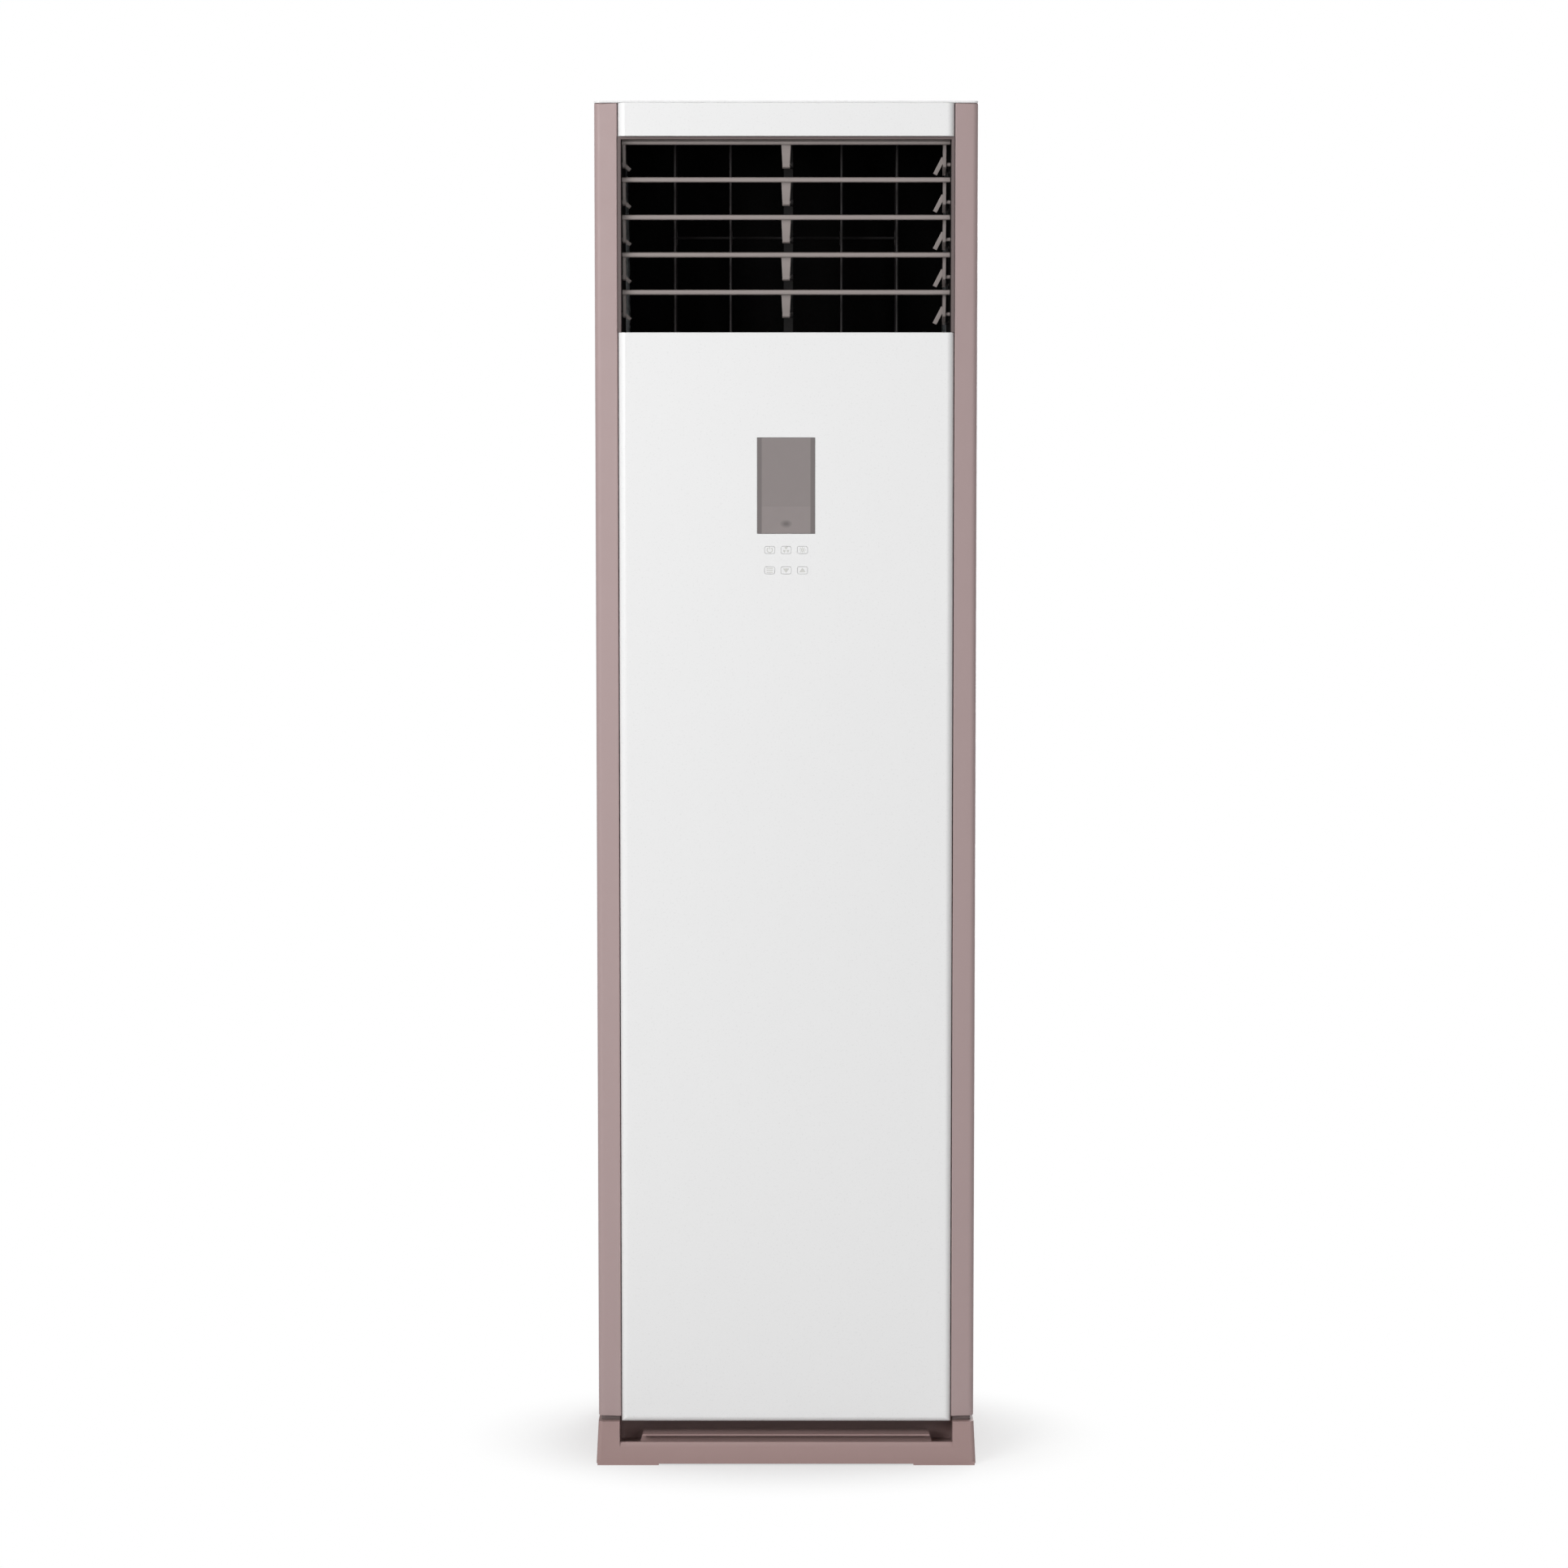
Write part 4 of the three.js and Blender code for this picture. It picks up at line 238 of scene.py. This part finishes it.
def drawn_copper(name, slot, tint):
    """Drawn tube with a little tarnish."""
    f = Finish(name, slot, roughness=0.3, metallic=1.0)
    tarnish = f.spread(f.noise(scale=30.0, detail=4.0, rough=0.6), 0.45, 0.7)
    f.colour(f.blend(tarnish, tint, scaled(tint, 0.55)))
    f.rough(f.spread(tarnish, 0.0, 1.0, 0.26, 0.46))
    return f


def bead_foam(name, slot, tint, **sockets):
    """Expanded beads pressed together: rounded cells with darker joints."""
    bead_scale = 260.0
    f = Finish(name, slot, roughness=0.85, **sockets)
    joints = f.spread(f.cells(bead_scale, feature="DISTANCE_TO_EDGE"), 0.0, 0.12)
    bead = f.spread(f.cells(bead_scale, output="Color"), 0.0, 1.0)
    tone = f.blend(bead, scaled(tint, 0.95), tint)
    f.colour(f.blend(joints, scaled(tint, 0.8), tone))
    f.bump(joints, strength=0.5, depth=0.25)
    return f


def woven_mesh(name, slot, tint):
    """Nylon gauze on the filter's faces, which lie in Y and Z: strands 1.5 mm apart, with painted
    shade in the gaps between them.
    """
    thread_scale = 209.0
    f = Finish(name, slot, roughness=0.7)
    weave = f.maths("MAXIMUM", f.waves(thread_scale, "Y"), f.waves(thread_scale, "Z"))
    threads_and_gap_shade = f.spread(weave, 0.72, 0.9)
    # the dark colour is painted shade seen through the gaps of the weave
    f.colour(f.blend(threads_and_gap_shade, scaled(tint, 0.25), scaled(tint, 1.25)))
    f.bump(weave, strength=0.6, depth=0.2)
    return f


def circuit(name, slot, tint):
    """Lacquered board with pale tracks; what stands in front of it is dark moulded parts."""
    posts_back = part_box("control_board")[1][1]
    parts_back = posts_back - 10.5 * MM  # just in front of the board's face
    f = Finish(name, slot, roughness=0.35)
    edge = f.cells(70.0, feature="DISTANCE_TO_EDGE", vector=f.stretch(1.0, 0.0, 1.4))
    lacquer = f.spread(edge, 0.03, 0.05)
    board = f.blend(lacquer, linear(92, 150, 96), tint)
    shade = f.cells(32.0, output="Color", vector=f.stretch(1.0, 0.0, 1.0))
    parts = f.blend(f.spread(shade, 0.2, 0.8), linear(38, 38, 42), linear(126, 122, 110))
    behind = f.spread(f.axis("Y"), parts_back - 0.3 * MM, parts_back)
    f.colour(f.blend(behind, parts, board))
    f.bump(lacquer, strength=0.2, depth=0.05)
    return f


def display_lens(name, slot, tint):
    """Smoked window: darker side strips, a paler foot and the receiver's dark, soft eye."""
    brim = 3 * MM  # what the panel hides all round
    foot_height = 34 * MM
    strip_inner, strip_outer = 6.4 * MM, 5 * MM  # soft edge of a strip, from the window's side
    eye_height = 12.5 * MM
    eye_slimness = 1.5  # width to height
    eye_core, eye_rim = 1.5 * MM, 8.5 * MM

    low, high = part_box("display_window")
    middle = (low[0] + high[0]) / 2
    half = (high[0] - low[0]) / 2 - brim
    f = Finish(name, slot, roughness=0.15)
    across = f.maths("ABSOLUTE", f.maths("SUBTRACT", f.axis("X"), middle), 0.0)
    above = f.maths("SUBTRACT", f.axis("Z"), low[2] + brim)
    pane = f.blend(f.spread(above, foot_height, foot_height + 1 * MM), scaled(tint, 1.1), tint)
    pane = f.blend(f.uneven(f.noise(scale=60.0), 0.0, 0.5), pane, scaled(tint, 1.04))
    side = f.spread(across, half - strip_inner, half - strip_outer)
    pane = f.blend(side, pane, scaled(tint, 0.7))
    rise = f.maths("MULTIPLY", f.maths("SUBTRACT", above, eye_height), eye_slimness)
    squares = [f.maths("MULTIPLY", value, value) for value in (across, rise)]
    distance = f.maths("POWER", f.maths("ADD", *squares), 0.5)
    f.colour(f.blend(f.spread(distance, eye_core, eye_rim), scaled(tint, 0.6), pane))
    f.rough(f.uneven(f.noise(scale=12.0), 0.12, 0.2))
    return f


# ------------------------------------------------------------------ finishes of the slots
ROSE_GRAIN = {"grain": 1400.0, "depth": 0.05, "mottle": 0.012, "fleck": 0.985}
OUTLET_GRAIN = {"grain": 1400.0, "depth": 0.04}
BLACK_GRAIN = {"grain": 1100.0, "depth": 0.05}

made = (
    moulded("rose_plastic_grain", "rose_plastic", linear(167, 146, 145), 0.5, **ROSE_GRAIN),
    glossy_panel("white_plastic_gloss", "white_plastic", linear(236, 236, 236)),
    powder_coat("white_sheet_coat", "white_sheet", linear(229, 229, 228)),
    moulded("taupe_plastic_grain", "taupe_plastic", linear(150, 141, 138), 0.46, **OUTLET_GRAIN),
    # Dark taupe for the outlet's bezel strips and the plinth ring: a darker moulding, and partly
    # painted shade of the header's overhang and the recess under the panel.
    moulded("dark_taupe_shade_grain", "dark_taupe_plastic", linear(97, 84, 83), 0.5, **OUTLET_GRAIN),
    moulded("black_plastic_matt", "black_plastic", linear(16, 14, 14), 0.7,
            **BLACK_GRAIN, Specular_IOR_Level=0.2),
    bead_foam("black_foam_beads", "black_foam", linear(14, 13, 13), Specular_IOR_Level=0.1),
    display_lens("smoked_lens_gloss", "smoked_lens", linear(134, 126, 125)),
    moulded("grey_plastic_grain", "grey_plastic", linear(206, 206, 202), 0.5,
            grain=1100.0, depth=0.04),
    moulded("black_rubber_matt", "black_rubber", linear(34, 34, 34), 0.75,
            grain=700.0, depth=0.08, mottle=0.06),
    galvanised("galvanised_spangle", "galvanised_steel", linear(180, 184, 186)),
    turned_steel("bright_steel_turned", "bright_steel", linear(191, 191, 191)),
    fin_pack("fin_aluminium_lines", "fin_aluminium", linear(201, 204, 206)),
    drawn_copper("copper_drawn", "copper_pipe", linear(184, 115, 80)),
    bead_foam("white_foam_beads", "white_foam", linear(228, 226, 220)),
    woven_mesh("filter_weave", "filter_mesh", linear(93, 100, 104)),
    circuit("circuit_lacquer", "circuit_board", linear(47, 107, 69)),
)
finishes = {finish.slot: finish.material for finish in made}

# The base takes a slightly browner, darker copy of the rose finish, and the vanes are greyer than
# the duct.
base_finish = moulded("rose_base_grain", "rose_plastic", linear(160, 134, 131), 0.5, **ROSE_GRAIN)
vane_finish = moulded("black_vane_matt", "black_plastic", linear(48, 45, 45), 0.6,
                      **BLACK_GRAIN, Specular_IOR_Level=0.3)
special = {"base_tray": base_finish.material}
special.update((f"vane_{i}", vane_finish.material) for i in VANES)


# ------------------------------------------------------------------ softened edges
FLAT_ANGLE = math.radians(0.4)  # faces that meet at less than this are merged
ROUND_ANGLE = math.radians(30)  # edges that turn by more than this are rounded
SHADE_ANGLE = math.radians(32)  # edges that turn by less than this are shaded smooth


def edge_group():
    """A node group that shades smooth and keeps only real edges sharp."""
    group = bpy.data.node_groups.new("smooth_by_angle", "GeometryNodeTree")
    for in_out in ("INPUT", "OUTPUT"):
        group.interface.new_socket("Geometry", in_out=in_out, socket_type="NodeSocketGeometry")
    enter = group.nodes.new("NodeGroupInput")
    leave = group.nodes.new("NodeGroupOutput")
    angle = group.nodes.new("GeometryNodeInputMeshEdgeAngle")
    compare = group.nodes.new("FunctionNodeCompare")
    compare.data_type = "FLOAT"
    compare.operation = "LESS_EQUAL"
    compare.inputs[1].default_value = SHADE_ANGLE
    faces = group.nodes.new("GeometryNodeSetShadeSmooth")
    edges = group.nodes.new("GeometryNodeSetShadeSmooth")
    edges.domain = "EDGE"
    group.links.new(angle.outputs["Unsigned Angle"], compare.inputs[0])
    group.links.new(enter.outputs[0], faces.inputs["Geometry"])
    group.links.new(faces.outputs[0], edges.inputs["Geometry"])
    group.links.new(compare.outputs[0], edges.inputs["Shade Smooth"])
    group.links.new(edges.outputs[0], leave.inputs[0])
    return group


SMOOTH = edge_group()


def soften(piece, width=0.5, weld=0.01, merge=True, clamp=True):
    """Welds a piece, merges its flat faces and rounds its edges; sizes in millimetres."""
    piece.modifiers.new("weld", "WELD").merge_threshold = weld * MM
    if merge:
        flat = piece.modifiers.new("flat", "DECIMATE")
        flat.decimate_type = "DISSOLVE"
        flat.angle_limit = FLAT_ANGLE
    bevel = piece.modifiers.new("bevel", "BEVEL")
    bevel.width = width * MM
    bevel.segments = 2
    bevel.limit_method = "ANGLE"
    bevel.angle_limit = ROUND_ANGLE
    bevel.use_clamp_overlap = clamp
    piece.modifiers.new("smooth", "NODES").node_group = SMOOTH
    flat_faces = piece.modifiers.new("flat_faces", "WEIGHTED_NORMAL")
    flat_faces.keep_sharp = True


# Pieces whose short edges, many slots or narrow gaps need other settings.
EDGES = {
    "pipe_grommet": {"width": 0.8},
    "base_tray": {"weld": 0.03},
    "front_panel": {"width": 0.2},
    "outlet_duct": {"width": 0.3, "weld": 0.12, "clamp": False},
    "intake_grille_left": {"width": 0.3, "merge": False},
    "intake_grille_right": {"width": 0.3, "merge": False},
    "louver_link": {"merge": False},
    "vane_link": {"merge": False},
}
EDGES.update((f"louver_{i}", {"width": 0.3, "clamp": False}) for i in LOUVERS)
EDGES.update((f"key_{i}", {"width": 0.2}) for i in KEYS)


def dress_nodes():
    """Gives every node its finish and its soft edges."""
    for name, node in nodes.items():
        slot = node.material_slots[0].material.name
        node.material_slots[0].material = special.get(name, finishes[slot])
        if "custom_normal" in node.data.attributes:
            node.data.attributes.remove(node.data.attributes["custom_normal"])
        soften(node, **EDGES.get(name, {}))


# ------------------------------------------------------------------ outlines in millimetres
def circle(radius, steps):
    turns = [math.tau * i / steps for i in range(steps)]
    return [(radius * math.cos(a), radius * math.sin(a)) for a in turns]


def sector(inner, outer, start, end, steps):
    """Part of a ring, angles in degrees from +X towards +Z."""
    def rim(radius, angles):
        return [(radius * math.cos(a), radius * math.sin(a)) for a in angles]
    turns = [math.radians(start + (end - start) * i / steps) for i in range(steps + 1)]
    return rim(outer, turns) + rim(inner, turns[::-1])


def bar(x0, x1, z0, z1):
    return [(x0, z0), (x1, z0), (x1, z1), (x0, z1)]


def cross(reach, half):
    """A cross drive: one corner and the two arm ends beside it, turned four times."""
    quarter = [(-reach, -half), (-half, -half), (-half, -reach)]
    outline = []
    for _ in range(4):
        outline += quarter
        quarter = [(-z, x) for x, z in quarter]
    return outline


# ------------------------------------------------------------------ small pieces
def piece_from(name, bm, slot, body):
    """A mesh piece that rides on a body and takes its finish from a slot."""
    mesh = bpy.data.meshes.new(name)
    bmesh.ops.recalc_face_normals(bm, faces=bm.faces)
    bm.to_mesh(mesh)
    bm.free()
    piece = bpy.data.objects.new(name, mesh)
    bpy.context.scene.collection.objects.link(piece)
    mesh.materials.append(finishes[slot])
    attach(piece, body)


def plate(bm, outline, centre, front, thickness):
    """A thin plate square to Y: its outline lies about centre, its front at y = front."""
    face = [bm.verts.new((centre[0] + x * MM, front, centre[1] + z * MM)) for x, z in outline]
    back = [bm.verts.new((v.co.x, front + thickness, v.co.z)) for v in face]
    bm.faces.new(face)
    bm.faces.new(list(reversed(back)))
    for i in range(len(face)):
        j = (i + 1) % len(face)
        bm.faces.new((face[i], back[i], back[j], face[j]))


# Plain generic signs about the middle of a key: power, fan, sun, menu, down and up.
KEY_SIGNS = (
    [sector(2.7, 4.0, -235, 55, 20), bar(-0.6, 0.6, 0.8, 4.2)],
    [sector(1.0, 4.0, 60 + 120 * i, 120 + 120 * i, 6) for i in range(3)],
    [sector(0.9, 2.3, start, start + 178, 12) for start in (0, 180)]
    + [sector(2.9, 4.1, 45 * i - 9, 45 * i + 9, 1) for i in range(8)],
    [bar(-4.2, 4.2, z - 0.6, z + 0.6) for z in (-2.7, 0.0, 2.7)],
    [[(-4.2, 2.4), (0.0, -3.4), (4.2, 2.4)]],
    [[(-4.2, -2.4), (4.2, -2.4), (0.0, 3.4)]],
)
SIGN_PROUD = 0.03 * MM  # how far a sign stands off its key
SIGN_THICKNESS = 0.1 * MM

# Screws, in millimetres as the outlines are.
SCREW_RADIUS = 3.6
SCREW_ROOT = 0.3  # part of a head that is sunk into its sheet
DOME_HEIGHT = 0.9  # domed head above its sheet
DRIVE_REACH = 2.1  # middle of a cross drive to the end of its arms
DRIVE_HALF = 0.45  # half the width of an arm


def add_key_signs():
    """A sign printed on each of the six keys."""
    for i, outlines in zip(KEYS, KEY_SIGNS):
        low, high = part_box(f"key_{i}")
        centre = ((low[0] + high[0]) / 2, (low[2] + high[2]) / 2)
        bm = bmesh.new()
        for outline in outlines:
            plate(bm, outline, centre, low[1] - SIGN_PROUD, SIGN_THICKNESS)
        piece_from(f"key_sign_{i}", bm, "grey_plastic", f"key_{i}")


def screw_head(bm, place, axis):
    """A low domed head with a hollow drive; axis points away from the sheet."""
    turn = Vector((0, 0, 1)).rotation_difference(Vector(axis)).to_matrix().to_4x4()
    base = Matrix.Translation(place) @ turn
    radius, height = SCREW_RADIUS * MM, DOME_HEIGHT * MM
    rim_height = 0.35 * height  # where the dome starts, and how deep its hollow goes
    rings = ((radius, -SCREW_ROOT * MM), (radius, rim_height),
             (0.8 * radius, 0.8 * height), (0.42 * radius, height))
    steps = 16
    rows = [[bm.verts.new(base @ Vector((x, y, up))) for x, y in circle(size, steps)]
            for size, up in rings]
    for lower, upper in zip(rows, rows[1:]):
        for i in range(steps):
            j = (i + 1) % steps
            bm.faces.new((lower[i], lower[j], upper[j], upper[i]))
    hollow = bm.verts.new(base @ Vector((0, 0, rim_height)))
    top = rows[-1]
    for i in range(steps):
        bm.faces.new((top[i], top[(i + 1) % steps], hollow))
    bm.faces.new(list(reversed(rows[0])))


def add_rear_screws():
    """Flush heads along the rear sheet's edges; on each lies a black cross, painted shade for the
    hollow of its drive.
    """
    inset = 9 * MM
    rows = 6
    middle_screw = 80 * MM  # from the sheet's middle
    root = SCREW_ROOT * MM
    head_proud, drive_proud = 0.03 * MM, 0.05 * MM
    ring = circle(SCREW_RADIUS, steps=20)
    drive = cross(DRIVE_REACH, DRIVE_HALF)

    low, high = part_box("rear_panel")
    foot, head = low[2] + inset, high[2] - inset
    places = [(x, foot + (head - foot) * i / (rows - 1))
              for x in (low[0] + inset, high[0] - inset) for i in range(rows)]
    places += [(x, z) for x in (-middle_screw, middle_screw) for z in (foot, head)]
    heads, drive_shades = bmesh.new(), bmesh.new()
    for place in places:
        plate(heads, ring, place, high[1] - root, root + head_proud)
        # a black cross of painted shade where the drive's hollow would be
        plate(drive_shades, drive, place, high[1] - root, root + drive_proud)
    piece_from("rear_screws", heads, "bright_steel", "cabinet")
    piece_from("rear_screw_drive_shades", drive_shades, "black_plastic", "cabinet")


def add_side_screws(name, out):
    """Domed heads that hold a side sheet; out is -1 on the left and 1 on the right."""
    rear_inset, foot_inset, head_inset = 23.5 * MM, 14 * MM, 22 * MM
    columns, pitch = 3, 100 * MM

    low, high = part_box(f"side_panel_{name}")
    face = low[0] if out < 0 else high[0]
    bm = bmesh.new()
    for i in range(columns):
        for z in (low[2] + foot_inset, high[2] - head_inset):
            screw_head(bm, (face, high[1] - rear_inset - pitch * i, z), (out, 0, 0))
    piece_from(f"side_screws_{name}", bm, "bright_steel", "cabinet")


# ------------------------------------------------------------------ studio
FLOOR_HALF = 14.0  # middle of the floor to its sides
FLOOR_WHITE = 0.86
SHADOW_SHARE = 0.45  # how much of the lit floor shows at the object's foot
SHADOW_INNER = 0.17  # distance from the middle at which it starts to fade
SHADOW_OUTER = 0.34  # and from which on the floor is plain white
SHADOW_STRETCH = 0.75  # below 1, so that the shadow reaches further to the sides
WORLD_LEVEL = 0.28  # the white surroundings as a source of light

# Square lamps: name, place, the point they face, side in metres and watts.
LAMPS = (
    ("key", (-2.6, -3.8, 2.6), (0, 0, 1.1), 2.4, 140),
    ("fill", (2.4, -5.2, 1.6), (0, 0, 0.8), 2.2, 28),
    ("back", (1.2, 3.6, 1.1), (0, 0, 1.0), 1.8, 60),
    ("top", (0.7, 0.9, 4.4), (0, 0.1, 1.7), 1.8, 32),
)

CAMERA_PLACE = (-0.0027, -5.165, 1.281)
CAMERA_DIP = 4.437  # degrees below level
CAMERA_LENS = 89.31  # millimetres, on the sensor below
CAMERA_SENSOR = 36.0


def lit_floor():
    """White floor that keeps the object's soft shadow close round its foot."""
    material = bpy.data.materials.new("floor_white")
    material.use_nodes = True
    tree = material.node_tree
    shader = tree.nodes["Principled BSDF"]
    shader.inputs["Base Color"].default_value = (FLOOR_WHITE, FLOOR_WHITE, FLOOR_WHITE, 1)
    shader.inputs["Roughness"].default_value = 0.9
    path = tree.nodes.new("ShaderNodeLightPath")
    glow = tree.nodes.new("ShaderNodeEmission")
    glow.inputs["Strength"].default_value = 1.0
    place = tree.nodes.new("ShaderNodeTexCoord")
    narrow = tree.nodes.new("ShaderNodeMapping")
    narrow.inputs["Scale"].default_value = (SHADOW_STRETCH, 1, 1)
    length = tree.nodes.new("ShaderNodeVectorMath")
    length.operation = "LENGTH"
    fade = tree.nodes.new("ShaderNodeMapRange")
    fade.interpolation_type = "SMOOTHSTEP"
    for key, value in (("From Min", SHADOW_INNER), ("From Max", SHADOW_OUTER),
                       ("To Min", 1 - SHADOW_SHARE), ("To Max", 1.0)):
        fade.inputs[key].default_value = value
    share = tree.nodes.new("ShaderNodeMath")
    share.operation = "MULTIPLY"
    mix = tree.nodes.new("ShaderNodeMixShader")
    tree.links.new(place.outputs["Object"], narrow.inputs["Vector"])
    tree.links.new(narrow.outputs["Vector"], length.inputs[0])
    tree.links.new(length.outputs["Value"], fade.inputs["Value"])
    tree.links.new(path.outputs["Is Camera Ray"], share.inputs[0])
    tree.links.new(fade.outputs["Result"], share.inputs[1])
    tree.links.new(share.outputs[0], mix.inputs["Fac"])
    tree.links.new(shader.outputs[0], mix.inputs[1])
    tree.links.new(glow.outputs[0], mix.inputs[2])
    tree.links.new(mix.outputs[0], tree.nodes["Material Output"].inputs["Surface"])
    return material


def add_floor():
    mesh = bpy.data.meshes.new("floor")
    bm = bmesh.new()
    bmesh.ops.create_grid(bm, x_segments=1, y_segments=1, size=FLOOR_HALF)
    bm.to_mesh(mesh)
    bm.free()
    floor = bpy.data.objects.new("studio_floor", mesh)
    bpy.context.scene.collection.objects.link(floor)
    mesh.materials.append(lit_floor())


def add_world():
    """White all round for the camera and for reflections, and dimmer as a source of light."""
    world = bpy.data.worlds.new("studio")
    bpy.context.scene.world = world
    world.use_nodes = True
    tree = world.node_tree
    background = tree.nodes["Background"]
    background.inputs["Color"].default_value = (1, 1, 1, 1)
    path = tree.nodes.new("ShaderNodeLightPath")
    seen = path.outputs["Is Camera Ray"]
    for ray in ("Is Glossy Ray", "Is Transmission Ray"):
        either = tree.nodes.new("ShaderNodeMath")
        either.operation = "MAXIMUM"
        tree.links.new(seen, either.inputs[0])
        tree.links.new(path.outputs[ray], either.inputs[1])
        seen = either.outputs[0]
    strength = tree.nodes.new("ShaderNodeMapRange")
    strength.inputs["To Min"].default_value = WORLD_LEVEL
    strength.inputs["To Max"].default_value = 1.0
    tree.links.new(seen, strength.inputs["Value"])
    tree.links.new(strength.outputs["Result"], background.inputs["Strength"])


def add_lamp(name, place, aim, side, power):
    data = bpy.data.lights.new(name, "AREA")
    data.shape = "SQUARE"
    data.size = side
    data.energy = power
    lamp = bpy.data.objects.new(name, data)
    bpy.context.scene.collection.objects.link(lamp)
    lamp.location = place
    lamp.rotation_euler = (Vector(aim) - Vector(place)).to_track_quat("-Z", "Y").to_euler()


def add_camera():
    """5 m in front of the panel, above its middle, looking a little down."""
    data = bpy.data.cameras.new("camera")
    data.lens = CAMERA_LENS
    data.sensor_width = CAMERA_SENSOR
    camera = bpy.data.objects.new("camera", data)
    bpy.context.scene.collection.objects.link(camera)
    camera.location = CAMERA_PLACE
    camera.rotation_euler = (math.radians(90 - CAMERA_DIP), 0, 0)
    bpy.context.scene.camera = camera


dress_nodes()
add_key_signs()
add_rear_screws()
add_side_screws("left", -1)
add_side_screws("right", 1)
add_floor()
add_world()
for lamp in LAMPS:
    add_lamp(*lamp)
add_camera()
bpy.context.scene.view_settings.view_transform = "Standard"
